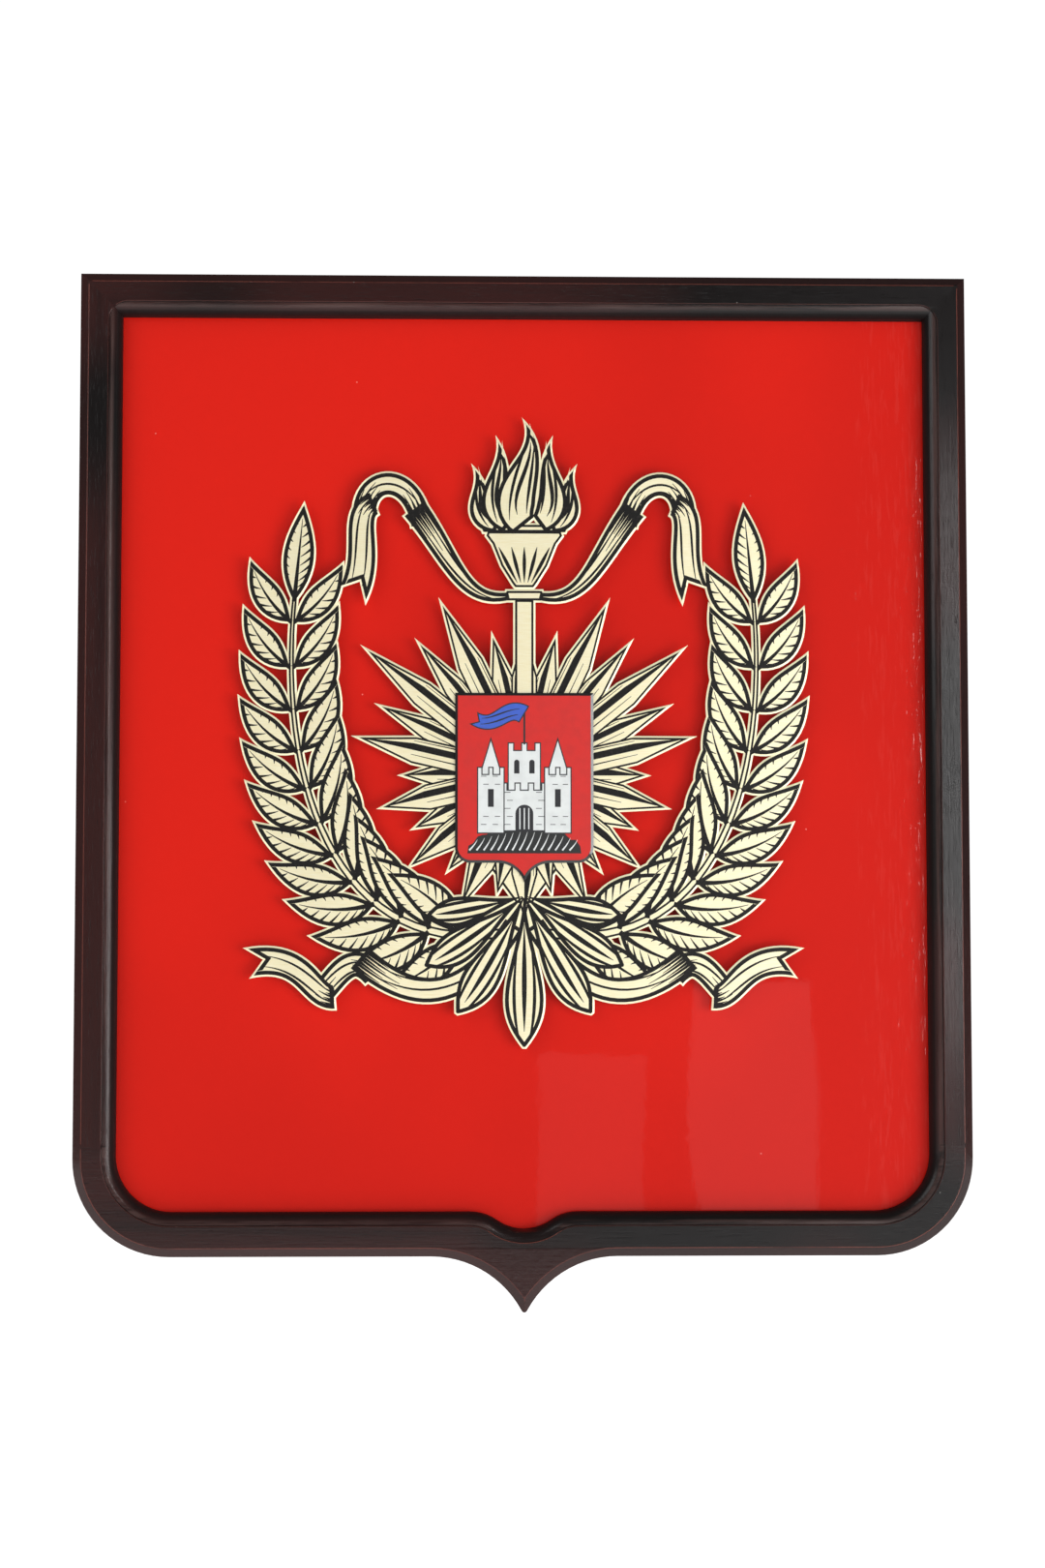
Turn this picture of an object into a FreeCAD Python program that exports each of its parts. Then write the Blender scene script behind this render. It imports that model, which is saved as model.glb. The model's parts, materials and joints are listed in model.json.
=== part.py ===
import FreeCAD, Part

import math
import os
from types import SimpleNamespace

import Sketcher
from FreeCAD import Placement, Rotation, Vector

# A wall plaque: a moulded wooden frame in the shape of a shield, a glossy panel held in its rebate,
# and a raised emblem plate with a small shield on it.
#
# Frame of reference: X to the right, Z up, the wall at y = 0 and the plaque in front of it (-Y).
# "Depth" is always the distance from the wall, so depth 5 is y = -5.
# The origin is on the wall, on the centre line, at the middle of the lower wall bumper.

doc = FreeCAD.newDocument("plaque")


# ---------------------------------------------------------------- driving dimensions, mm

DRIVING = (
    ("plaque_width", 400.0, "outer width of the frame"),
    ("plaque_height", 440.0, "top edge to the straight part of the bottom edge"),
    ("corner_radius", 43.0, "outer radius of the two bottom corners"),
    ("point_half_width", 41.4, "half of the ogee that makes the point"),
    ("point_drop", 26.3, "how far the point hangs below the bottom edge"),
    ("point_radius", 1.4, "rounding of the very tip"),
    ("rail_width", 18.4, "seen width of a stile and of the top rail"),
    ("bottom_rail_width", 19.2, "seen width of the bottom board at its straight part"),
    ("bottom_joint_height", 48.8, "joint of stile and bottom board above the bottom edge"),
    ("rail_thickness", 20.0, "front to back"),
    ("opening_corner_radius", 25.0, "bottom corners of the opening"),
    ("dip_half_width", 24.0, "half of the dip in the opening's bottom edge"),
    ("dip_drop", 7.6, "depth of that dip"),
    ("bevel_width", 3.3, "outer bevel, measured across the front"),
    ("bevel_depth", 4.0, "outer bevel, measured down the side"),
    ("bead_width", 5.4, "shelf of the inner bead, from the opening outwards"),
    ("bead_step", 1.0, "step from the front down to the bead"),
    ("bead_radius", 5.1, "rounding of the bead into the opening"),
    ("bead_corner_radius", 8.7, "cutter radius left in the bead's top corners"),
    ("rebate_width", 5.7, "how far the boards reach behind the frame"),
    ("board_clearance", 0.6, "gap round the boards in the rebate"),
    ("panel_thickness", 4.0, "red panel"),
    ("liner_thickness", 3.0, "liner board"),
    ("backing_thickness", 3.0, "backing board"),
    ("bumper_thickness", 5.0, "wall bumper, so also the gap behind the frame"),
    ("bumper_radius", 6.0, "lower wall bumper"),
    ("upper_bumper_radius", 5.0, "the two upper wall bumpers"),
    ("bumper_drop", 10.0, "lower bumper's middle below the bottom edge"),
    ("dowel_radius", 2.5, "dowels between stile and bottom board"),
    ("dowel_length", 24.0, "dowels, half in each piece"),
    ("dowel_pitch", 7.5, "between the two dowels of one joint"),
    ("dowel_clearance", 0.05, "round a dowel"),
    ("nail_thickness", 0.6, "V-nail sheet"),
    ("nail_arm", 6.0, "V-nail, each arm"),
    ("nail_height", 8.0, "V-nail, along the depth"),
    ("nail_sink", 0.5, "V-nail below the back of the frame"),
    ("button_length", 24.0, "turn button"),
    ("button_width", 9.0, "turn button"),
    ("button_thickness", 1.2, "turn button"),
    ("turning_gap", 0.2, "each side of a turn button"),
    ("running_clearance", 0.08, "round a pivot"),
    ("screw_radius", 1.5, "shank of every screw"),
    ("screw_length", 12.0, "shank of every screw"),
    ("screw_head_radius", 3.0, "head of every screw"),
    ("screw_head_height", 1.4, "head of every screw"),
    ("screw_hole_clearance", 0.05, "round a shank in the wood or the strap"),
    ("ring_side_play", 0.3, "between the strap and the ring's bends, each side"),
    ("strap_length", 24.0, "hanger strap, pivot to lower end"),
    ("strap_thickness", 1.0, "hanger strap"),
    ("strap_screw_drop", 18.0, "hanger screw below the pivot"),
    ("hanger_drop", 95.0, "ring pivot below the top edge"),
    ("ring_wire_radius", 0.9, "hanging ring's wire"),
    ("ring_half_width", 5.4, "middle of the wire"),
    ("ring_leg", 4.0, "straight part of the ring's legs, from the pivot"),
    ("ring_bend", 1.6, "corner of the ring at the pivot bar"),
    ("emblem_gap", 4.5, "emblem off the panel"),
    ("emblem_thickness", 1.5, "emblem plate"),
    ("emblem_height", 13.1, "emblem's middle above the middle of the opening"),
    ("emblem_scale", 1.0, "overall size of the emblem"),
    ("spacer_radius", 3.5, "emblem spacers"),
    ("shield_width", 62.0, "small shield"),
    ("shield_height", 76.2, "small shield, top to its straight bottom"),
    ("shield_thickness", 1.0, "small shield"),
    ("shield_drop", 59.2, "small shield's bottom edge below the emblem's middle"),
    ("shield_corner_radius", 7.0, "small shield's bottom corners"),
    ("shield_point_half_width", 12.0, "ogee of the small shield"),
    ("shield_point_drop", 8.8, "point of the small shield"),
)


class Size:
    """A length with its value and the spreadsheet formula that gives it."""

    def __init__(self, value, formula):
        self.value = value
        self.formula = formula

    def combined(self, sign, other, value):
        return Size(value, f"({self.formula} {sign} {as_size(other).formula})")

    def __add__(self, other):
        return self.combined("+", other, self.value + as_size(other).value)

    def __sub__(self, other):
        return self.combined("-", other, self.value - as_size(other).value)

    def __mul__(self, other):
        return self.combined("*", other, self.value * as_size(other).value)

    def __truediv__(self, other):
        return self.combined("/", other, self.value / as_size(other).value)

    def __neg__(self):
        return Size(-self.value, f"(-1 * {self.formula})")


def as_size(number):
    return number if isinstance(number, Size) else Size(float(number), repr(float(number)))


def driving_dimensions():
    """Fill the sheet and give each alias back as a Size."""
    sheet = doc.addObject("Spreadsheet::Sheet", "sizes")
    for row, (alias, value, meaning) in enumerate(DRIVING, start=1):
        sheet.set(f"A{row}", alias)
        sheet.set(f"B{row}", str(value))
        sheet.set(f"C{row}", meaning)
        sheet.setAlias(f"B{row}", alias)
    doc.recompute()
    return SimpleNamespace(**{alias: Size(sheet.get(alias), f"sizes.{alias}") for alias, _, _ in DRIVING})


s = driving_dimensions()

# ---------------------------------------------------------------- depths and places shared by the pieces

back = s.bumper_thickness
rebate_depth = s.panel_thickness + s.liner_thickness + s.backing_thickness
front = back + s.rail_thickness
liner_depth = back + s.backing_thickness
panel_depth = liner_depth + s.liner_thickness
panel_front = panel_depth + s.panel_thickness
emblem_depth = panel_front + s.emblem_gap
shield_depth = emblem_depth + s.emblem_thickness

half_width = s.plaque_width / 2
bottom_edge = s.bumper_drop
top_edge = bottom_edge + s.plaque_height
joint_z = bottom_edge + s.bottom_joint_height
opening_half = half_width - s.rail_width
opening_top = top_edge - s.rail_width
opening_bottom = bottom_edge + s.bottom_rail_width
emblem_z = (opening_top + opening_bottom) / 2 + s.emblem_height
dip_radius = (s.dip_half_width * s.dip_half_width + s.dip_drop * s.dip_drop) / (s.dip_drop * 4)

# middle of the solid wood behind each rail, where the hardware is screwed
side_land = (half_width + opening_half + s.rebate_width) / 2
top_land = (top_edge + opening_top + s.rebate_width) / 2
bottom_land = (bottom_edge + opening_bottom - s.rebate_width) / 2


# ---------------------------------------------------------------- helpers

def bind(thing, path, size):
    """Tie one property of a document object to the sheet."""
    thing.setExpression(path, as_size(size).formula)


def place(thing, x=0.0, y=0.0, z=0.0):
    for axis, size in zip("xyz", (x, y, z)):
        bind(thing, f".Placement.Base.{axis}", size)


def block(name, x, z, width, height, depth, thickness):
    """A box whose lower left corner is at x, z; depth is its side nearest the wall."""
    box = doc.addObject("Part::Box", name)
    bind(box, "Length", width)
    bind(box, "Width", thickness)
    bind(box, "Height", height)
    place(box, x, -(depth + thickness), z)
    return box


def disc(name, x, z, radius, depth, thickness):
    """A round piece that stands on depth and grows towards the front."""
    cylinder = doc.addObject("Part::Cylinder", name)
    cylinder.Placement = Placement(Vector(), Rotation(Vector(1, 0, 0), 90))
    bind(cylinder, "Radius", radius)
    bind(cylinder, "Height", thickness)
    place(cylinder, x, -depth, z)
    return cylinder


def upright(name, x, z, radius, depth, length):
    """A round piece along Z, from z upwards, with its axis at depth."""
    cylinder = doc.addObject("Part::Cylinder", name)
    bind(cylinder, "Radius", radius)
    bind(cylinder, "Height", length)
    place(cylinder, x, -depth, z)
    return cylinder


def crosswise(name, z, radius, depth, length):
    """A round piece along X, centred on x = 0, with its axis at depth."""
    cylinder = doc.addObject("Part::Cylinder", name)
    cylinder.Placement = Placement(Vector(), Rotation(Vector(0, 1, 0), 90))
    bind(cylinder, "Radius", radius)
    bind(cylinder, "Height", length)
    place(cylinder, -length / 2, -depth, z)
    return cylinder


def fused(name, pieces):
    result = doc.addObject("Part::MultiFuse", name)
    result.Shapes = pieces
    return result


def cut(name, base, tool):
    result = doc.addObject("Part::Cut", name)
    result.Base = base
    result.Tool = tool
    return result


def common(name, base, tool):
    result = doc.addObject("Part::Common", name)
    result.Base = base
    result.Tool = tool
    return result


def group(name, pieces):
    result = doc.addObject("Part::Compound", name)
    result.Links = pieces
    return result


def new_body(name):
    return doc.addObject("PartDesign::Body", name)


def plane(body, role):
    return next(feature for feature in body.Origin.OriginFeatures if feature.Role == role)


def arc(centre, radius, start_degrees, end_degrees):
    circle = Part.Circle(Vector(*centre, 0), Vector(0, 0, 1), radius)
    return Part.ArcOfCircle(circle, math.radians(start_degrees), math.radians(end_degrees))


def join(sketch, first, second, kind):
    """Join the nearest ends of two pieces of a sketch: kind is Tangent or Coincident."""
    ends = [(a, b) for a in (1, 2) for b in (1, 2)]
    gap = {
        (a, b): sketch.getPoint(first, a).distanceToPoint(sketch.getPoint(second, b))
        for a, b in ends
    }
    a, b = min(ends, key=gap.get)
    sketch.addConstraint(Sketcher.Constraint(kind, first, a, second, b))


def measure(sketch, constraint, size):
    """Add a dimension to a sketch and tie it to the sheet."""
    index = sketch.addConstraint(constraint)
    bind(sketch, f"Constraints[{index}]", size)


def wall_sketch(body, name, depth, base_z):
    """A sketch parallel to the wall, at that depth, whose own origin is at x = 0, z = base_z."""
    sketch = body.newObject("Sketcher::SketchObject", name)
    sketch.AttachmentSupport = (plane(body, "XZ_Plane"), "")
    sketch.MapMode = "FlatFace"
    bind(sketch, ".AttachmentOffset.Base.y", base_z)
    bind(sketch, ".AttachmentOffset.Base.z", depth)
    return sketch


def pointed_outline(sketch, half, height, corner, point_half, point_drop):
    """A shield with square top corners, rounded bottom corners and an ogee point.

    The sketch's origin lies on the straight bottom edge. Every curve is an arc.
    """
    w, top, r, pw, pd = half.value, height.value, corner.value, point_half.value, point_drop.value
    ogee = (pw * pw + pd * pd) / (2 * pd)
    turn = math.degrees(math.asin(pw / ogee))
    geometry = (
        Part.LineSegment(Vector(-w, top, 0), Vector(w, top, 0)),
        Part.LineSegment(Vector(w, top, 0), Vector(w, r, 0)),
        arc((w - r, r), r, -90, 0),
        Part.LineSegment(Vector(w - r, 0, 0), Vector(pw, 0, 0)),
        arc((pw, -ogee), ogee, 90, 90 + turn),
        arc((-pw, -ogee), ogee, 90 - turn, 90),
        Part.LineSegment(Vector(-pw, 0, 0), Vector(r - w, 0, 0)),
        arc((r - w, r), r, 180, 270),
        Part.LineSegment(Vector(-w, r, 0), Vector(-w, top, 0)),
    )
    top_line, right, corner_arc, foot, ogee_right, ogee_left, foot_left, corner_left, left = (
        sketch.addGeometry(piece) for piece in geometry
    )
    join(sketch, top_line, right, "Coincident")
    join(sketch, top_line, left, "Coincident")
    join(sketch, ogee_right, ogee_left, "Coincident")
    for first, second in ((right, corner_arc), (corner_arc, foot), (foot, ogee_right),
                          (ogee_left, foot_left), (foot_left, corner_left), (corner_left, left)):
        join(sketch, first, second, "Tangent")
    upright_axis = -2
    for line in (right, left):
        sketch.addConstraint(Sketcher.Constraint("Vertical", line))
    for line in (foot, foot_left):
        sketch.addConstraint(Sketcher.Constraint("Horizontal", line))
    sketch.addConstraint(Sketcher.Constraint("Symmetric", top_line, 1, top_line, 2, upright_axis))
    sketch.addConstraint(Sketcher.Constraint("Symmetric", foot, 2, foot_left, 1, upright_axis))
    sketch.addConstraint(Sketcher.Constraint("Equal", corner_arc, corner_left))
    sketch.addConstraint(Sketcher.Constraint("PointOnObject", ogee_right, 2, upright_axis))
    sketch.addConstraint(Sketcher.Constraint("PointOnObject", foot, 1, -1))
    measure(sketch, Sketcher.Constraint("DistanceX", -1, 1, top_line, 2, w), half)
    measure(sketch, Sketcher.Constraint("DistanceY", -1, 1, top_line, 2, top), height)
    measure(sketch, Sketcher.Constraint("Radius", corner_arc, r), corner)
    measure(sketch, Sketcher.Constraint("DistanceX", -1, 1, foot, 2, pw), point_half)
    measure(sketch, Sketcher.Constraint("DistanceY", ogee_right, 2, -1, 1, pd), point_drop)


def dipped_outline(sketch, spread, top_corner=None):
    """The opening's outline, grown outwards by spread: its bottom edge dips in the middle.

    The sketch's origin lies on the grown outline's straight bottom edge. The top corners stay
    square unless top_corner gives them a radius.
    """
    half = opening_half + spread
    height = opening_top - opening_bottom + spread * 2
    corner = s.opening_corner_radius + spread
    shoulder = dip_radius - spread
    dip = dip_radius + spread
    w, top, r = half.value, height.value, corner.value
    sr, dr, dw = shoulder.value, dip.value, s.dip_half_width.value
    lean = math.degrees(math.asin(dw / (sr + dr)))
    dip_z = -sr + math.sqrt((sr + dr) ** 2 - dw**2)
    tr = top_corner.value if top_corner else 0.0
    top_line = sketch.addGeometry(Part.LineSegment(Vector(tr - w, top, 0), Vector(w - tr, top, 0)))
    right = sketch.addGeometry(Part.LineSegment(Vector(w, top - tr, 0), Vector(w, r, 0)))
    corner_arc = sketch.addGeometry(arc((w - r, r), r, -90, 0))
    foot = sketch.addGeometry(Part.LineSegment(Vector(w - r, 0, 0), Vector(dw, 0, 0)))
    shoulder_right = sketch.addGeometry(arc((dw, -sr), sr, 90, 90 + lean))
    dip_arc = sketch.addGeometry(arc((0, dip_z), dr, 270 - lean, 270 + lean))
    shoulder_left = sketch.addGeometry(arc((-dw, -sr), sr, 90 - lean, 90))
    foot_left = sketch.addGeometry(Part.LineSegment(Vector(-dw, 0, 0), Vector(r - w, 0, 0)))
    corner_left = sketch.addGeometry(arc((r - w, r), r, 180, 270))
    left = sketch.addGeometry(Part.LineSegment(Vector(-w, r, 0), Vector(-w, top - tr, 0)))
    chain = [right, corner_arc, foot, shoulder_right, dip_arc, shoulder_left, foot_left, corner_left, left]
    if top_corner:
        top_right = sketch.addGeometry(arc((w - tr, top - tr), tr, 0, 90))
        top_left = sketch.addGeometry(arc((tr - w, top - tr), tr, 90, 180))
        chain = [top_line, top_right] + chain + [top_left, top_line]
        sketch.addConstraint(Sketcher.Constraint("Equal", top_right, top_left))
        measure(sketch, Sketcher.Constraint("Radius", top_right, tr), top_corner)
    else:
        join(sketch, top_line, right, "Coincident")
        join(sketch, top_line, left, "Coincident")
    for first, second in zip(chain, chain[1:]):
        join(sketch, first, second, "Tangent")
    upright_axis = -2
    for line in (right, left):
        sketch.addConstraint(Sketcher.Constraint("Vertical", line))
    for line in (foot, foot_left):
        sketch.addConstraint(Sketcher.Constraint("Horizontal", line))
    sketch.addConstraint(Sketcher.Constraint("Symmetric", top_line, 1, top_line, 2, upright_axis))
    sketch.addConstraint(Sketcher.Constraint("Symmetric", foot, 2, foot_left, 1, upright_axis))
    sketch.addConstraint(Sketcher.Constraint("Equal", corner_arc, corner_left))
    sketch.addConstraint(Sketcher.Constraint("Equal", shoulder_right, shoulder_left))
    sketch.addConstraint(Sketcher.Constraint("PointOnObject", foot, 1, -1))
    measure(sketch, Sketcher.Constraint("DistanceX", -1, 1, right, 2, w), half)
    measure(sketch, Sketcher.Constraint("DistanceY", -1, 1, top_line, 2, top), height)
    measure(sketch, Sketcher.Constraint("Radius", corner_arc, r), corner)
    measure(sketch, Sketcher.Constraint("DistanceX", -1, 1, foot, 2, dw), s.dip_half_width)
    measure(sketch, Sketcher.Constraint("Radius", shoulder_right, sr), shoulder)
    measure(sketch, Sketcher.Constraint("Radius", dip_arc, dr), dip)


def pad(body, name, sketch, length):
    """Grow a sketch towards the front."""
    feature = body.newObject("PartDesign::Pad", name)
    feature.Profile = sketch
    bind(feature, "Length", length)
    sketch.Visibility = False
    return feature


def pocket(body, name, sketch, length, from_behind=False):
    """Cut a sketch into the body: towards the wall, or from the back towards the front."""
    feature = body.newObject("PartDesign::Pocket", name)
    feature.Profile = sketch
    feature.Reversed = from_behind
    bind(feature, "Length", length)
    sketch.Visibility = False
    return feature


def edge_names(shape, edges):
    return [f"Edge{number}" for number, edge in enumerate(shape.Edges, start=1)
            if any(edge.isSame(other) for other in edges)]


def front_face_at(shape, depth):
    """The largest flat face that looks to the front at that depth."""
    faces = [face for face in shape.Faces
             if isinstance(face.Surface, Part.Plane)
             and face.BoundBox.YLength < 1e-6
             and abs(face.BoundBox.YMin + depth) < 1e-6
             and face.normalAt(0, 0).y < 0]
    return max(faces, key=lambda face: face.Area)


# ---------------------------------------------------------------- the frame, moulded as one ring

# The four pieces are glued up square and then moulded in one pass, so the profile is made on the ring:
# a bevelled outer part, whose inner wall keeps the cutter's radius in its top corners, and a lower
# inner part, whose edge is rounded over into the opening and meets in a crease in those corners.
outer_ring = new_body("outer_ring")
blank_sketch = wall_sketch(outer_ring, "blank_outline", back, bottom_edge)
pointed_outline(blank_sketch, half_width, s.plaque_height, s.corner_radius, s.point_half_width, s.point_drop)
pad(outer_ring, "blank", blank_sketch, s.rail_thickness)
groove_sketch = wall_sketch(outer_ring, "groove_outline", front, opening_bottom - s.bead_width)
dipped_outline(groove_sketch, s.bead_width, s.bead_corner_radius)
groove = pocket(outer_ring, "groove", groove_sketch, s.rail_thickness)
doc.recompute()

outer_loop = front_face_at(groove.Shape, front.value).OuterWire.Edges
bevel = outer_ring.newObject("PartDesign::Chamfer", "outer_bevel")
bevel.Base = (groove, edge_names(groove.Shape, outer_loop))
bevel.ChamferType = "Two distances"
bind(bevel, "Size", s.bevel_width)
bind(bevel, "Size2", s.bevel_depth)
doc.recompute()

tip_edges = [edge for edge in bevel.Shape.Edges
             if edge.BoundBox.XLength < 1e-6 and edge.BoundBox.ZLength < 1e-6
             and edge.BoundBox.ZMin < bottom_edge.value - 1]
rounded_tip = outer_ring.newObject("PartDesign::Fillet", "rounded_tip")
rounded_tip.Base = (bevel, edge_names(bevel.Shape, tip_edges))
bind(rounded_tip, "Radius", s.point_radius)

inner_ring = new_body("inner_ring")
inner_width = s.bead_width * 1.5
inner_sketch = wall_sketch(inner_ring, "inner_outline", back, opening_bottom - inner_width)
dipped_outline(inner_sketch, inner_width)
pad(inner_ring, "inner_blank", inner_sketch, s.rail_thickness - s.bead_step)
opening_sketch = wall_sketch(inner_ring, "opening_outline", front, opening_bottom)
dipped_outline(opening_sketch, as_size(0))
opening = pocket(inner_ring, "opening", opening_sketch, s.rail_thickness)
doc.recompute()

shelf = front_face_at(opening.Shape, (front - s.bead_step).value)
opening_loop = [edge for wire in shelf.Wires if not wire.isSame(shelf.OuterWire) for edge in wire.Edges]
bead = inner_ring.newObject("PartDesign::Fillet", "bead")
bead.Base = (opening, edge_names(opening.Shape, opening_loop))
bind(bead, "Radius", s.bead_radius)

rebate_space = new_body("rebate_space")
rebate_sketch = wall_sketch(rebate_space, "rebate_outline", back, opening_bottom - s.rebate_width)
dipped_outline(rebate_sketch, s.rebate_width)
pad(rebate_space, "rebate", rebate_sketch, rebate_depth)


# ---------------------------------------------------------------- what is bored and slotted in the frame

pilot_radius = s.screw_radius + s.screw_hole_clearance
button_depth = back - s.turning_gap - s.button_thickness
button_head_depth = button_depth - s.turning_gap / 2 - s.screw_head_height
strap_depth = back - s.strap_thickness
strap_head_depth = strap_depth - s.screw_head_height
hanger_z = top_edge - s.hanger_drop
strap_screw_z = hanger_z - s.strap_screw_drop
upper_button_z = joint_z + (top_edge - joint_z) / 2
lower_button_z = joint_z + (top_edge - joint_z) / 10

# turn buttons: name, x, z and the turn about Y that points them at the boards
BUTTONS = (
    ("top_left", -(half_width / 2), top_land, 90),
    ("top_right", half_width / 2, top_land, 90),
    ("left_upper", -side_land, upper_button_z, 0),
    ("left_lower", -side_land, lower_button_z, 0),
    ("right_upper", side_land, upper_button_z, 180),
    ("right_lower", side_land, lower_button_z, 180),
    ("bottom_left", -(half_width / 2), bottom_land, -90),
    ("bottom_right", half_width / 2, bottom_land, -90),
)
SIDES = (("left", -1), ("right", 1))


def corner_nail(name, side, depth, height):
    """An L of sheet steel astride the mitre of one top corner."""
    inset = (s.rail_width - s.rebate_width) / 2
    corner_x = (half_width - inset) * side
    corner_z = top_edge - inset
    arm_x = corner_x - (s.nail_arm if side > 0 else 0)
    across = block(f"{name}_across", arm_x, corner_z, s.nail_arm, s.nail_thickness, depth, height)
    post_x = corner_x - (s.nail_thickness if side > 0 else 0)
    post_z = corner_z + s.nail_thickness - s.nail_arm
    down = block(f"{name}_down", post_x, post_z, s.nail_thickness, s.nail_arm, depth, height)
    return fused(name, [across, down])


def dowel_places():
    """Name, x and depth of each dowel, two to a stile."""
    middle = back + s.rail_thickness / 2
    for side_name, side in SIDES:
        for row, offset in (("rear", -1), ("fore", 1)):
            yield f"{side_name}_{row}", side_land * side, middle + s.dowel_pitch * (offset / 2)


cutters = []
for side_name, side in SIDES:
    cutters.append(corner_nail(f"{side_name}_nail_slot", side, back, s.nail_sink + s.nail_height))
    cutters.append(disc(f"{side_name}_strap_pilot", side_land * side, strap_screw_z, pilot_radius,
                        back, s.screw_length - s.strap_thickness + s.screw_hole_clearance))
for name, x, depth in dowel_places():
    hole_length = s.dowel_length + s.dowel_radius
    cutters.append(upright(f"{name}_dowel_hole", x, joint_z - hole_length / 2,
                           s.dowel_radius + s.dowel_clearance, depth, hole_length))
for name, x, z, _ in BUTTONS:
    cutters.append(disc(f"{name}_pilot", x, z, pilot_radius, back, s.screw_length))
ring = cut("frame_ring", fused("moulded_ring", [outer_ring, inner_ring]), rebate_space)
drilled_ring = cut("drilled_ring", ring, fused("frame_cutters", cutters))


# ---------------------------------------------------------------- the frame, parted at its joints

# The top rail is a wedge of the ring: its ends run at 45 degrees from the outer corners.
mitre_run = s.rail_width * 2
top_wedge = doc.addObject("Part::Wedge", "top_wedge")
top_wedge.Placement = Placement(Vector(), Rotation(Vector(1, 0, 0), 90))
for path, size in (("Xmin", -half_width + mitre_run), ("Xmax", half_width - mitre_run),
                   ("X2min", -half_width), ("X2max", half_width),
                   ("Ymin", top_edge - mitre_run), ("Ymax", top_edge),
                   ("Zmin", back), ("Z2min", back), ("Zmax", front), ("Z2max", front)):
    bind(top_wedge, path, size)
top_rail = common("top_rail", drilled_ring, top_wedge)

bottom_box = block("bottom_box", -half_width, bottom_edge - s.point_drop, s.plaque_width,
                   joint_z - bottom_edge + s.point_drop, back, s.rail_thickness)
bottom_board = common("bottom_board", drilled_ring, bottom_box)

pieces = [top_rail, bottom_board]
for side_name, side in SIDES:
    stile_x = -half_width if side < 0 else half_width - mitre_run
    stile_box = block(f"{side_name}_stile_box", stile_x, joint_z, mitre_run,
                      top_edge - joint_z, back, s.rail_thickness)
    stile_blank = common(f"{side_name}_stile_blank", drilled_ring, stile_box)
    pieces.append(cut(f"{side_name}_stile", stile_blank, top_wedge))

pieces.append(group("mitre_nails", [
    corner_nail(f"{side_name}_nail", side, back + s.nail_sink, s.nail_height) for side_name, side in SIDES]))
pieces.append(group("stile_dowels", [
    upright(f"{name}_dowel", x, joint_z - s.dowel_length / 2, s.dowel_radius, depth, s.dowel_length)
    for name, x, depth in dowel_places()]))


# ---------------------------------------------------------------- boards in the rebate

def board(name, depth, thickness):
    """A flat board that fills the rebate, less a gap all round."""
    body = new_body(name)
    spread = s.rebate_width - s.board_clearance
    sketch = wall_sketch(body, f"{name}_outline", depth, opening_bottom - spread)
    dipped_outline(sketch, spread)
    pad(body, f"{name}_pad", sketch, thickness)
    return body


pieces.append(board("backing_board", back, s.backing_thickness))
pieces.append(board("liner_board", liner_depth, s.liner_thickness))
pieces.append(board("red_panel", panel_depth, s.panel_thickness))


# ---------------------------------------------------------------- hardware on the back

def screw(name, x, z, head_depth):
    """A pan-head screw driven towards the front."""
    head = disc(f"{name}_head", x, z, s.screw_head_radius, head_depth, s.screw_head_height)
    shank = disc(f"{name}_shank", x, z, s.screw_radius, head_depth + s.screw_head_height, s.screw_length)
    return fused(name, [head, shank])


def turn_button(name, x, z, turn):
    """A round-ended strip that turns on its screw; built along +X, then turned and moved."""
    run = s.button_length - s.button_width
    tail = s.button_width / 2
    strip = block(f"{name}_strip", 0, -tail, run, s.button_width, button_depth, s.button_thickness)
    heel = disc(f"{name}_heel", 0, 0, tail, button_depth, s.button_thickness)
    toe = disc(f"{name}_toe", run, 0, tail, button_depth, s.button_thickness)
    hole = disc(f"{name}_hole", 0, 0, s.screw_radius + s.running_clearance, button_depth, s.button_thickness)
    button = cut(name, fused(f"{name}_blank", [strip, heel, toe]), hole)
    button.Placement = Placement(Vector(), Rotation(Vector(0, 1, 0), turn))
    place(button, x, 0, z)
    return button


pieces += [turn_button(f"turn_button_{name}", x, z, turn) for name, x, z, turn in BUTTONS]
pieces.append(group("turn_button_screws", [
    screw(f"{name}_button_screw", x, z, button_head_depth) for name, x, z, _ in BUTTONS]))


def hanger_strap(name, side):
    """A steel strap whose upper end is rolled into a barrel for the ring's bar."""
    x = side_land * side
    strap_width = (s.ring_half_width - s.ring_bend - s.ring_side_play) * 2
    bore = s.ring_wire_radius + s.running_clearance
    roll = bore + s.strap_thickness
    axis_depth = back - roll
    plate = block(f"{name}_plate", x - strap_width / 2, hanger_z - s.strap_length,
                  strap_width, s.strap_length, strap_depth, s.strap_thickness)
    barrel = crosswise(f"{name}_barrel", hanger_z, roll, axis_depth, strap_width)
    eye = crosswise(f"{name}_eye", hanger_z, bore, axis_depth, strap_width)
    for cylinder in (barrel, eye):
        bind(cylinder, ".Placement.Base.x", x - strap_width / 2)
    hole = disc(f"{name}_screw_hole", x, strap_screw_z, pilot_radius, strap_depth, s.strap_thickness)
    return cut(name, fused(f"{name}_blank", [plate, barrel]), group(f"{name}_holes", [eye, hole]))


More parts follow.
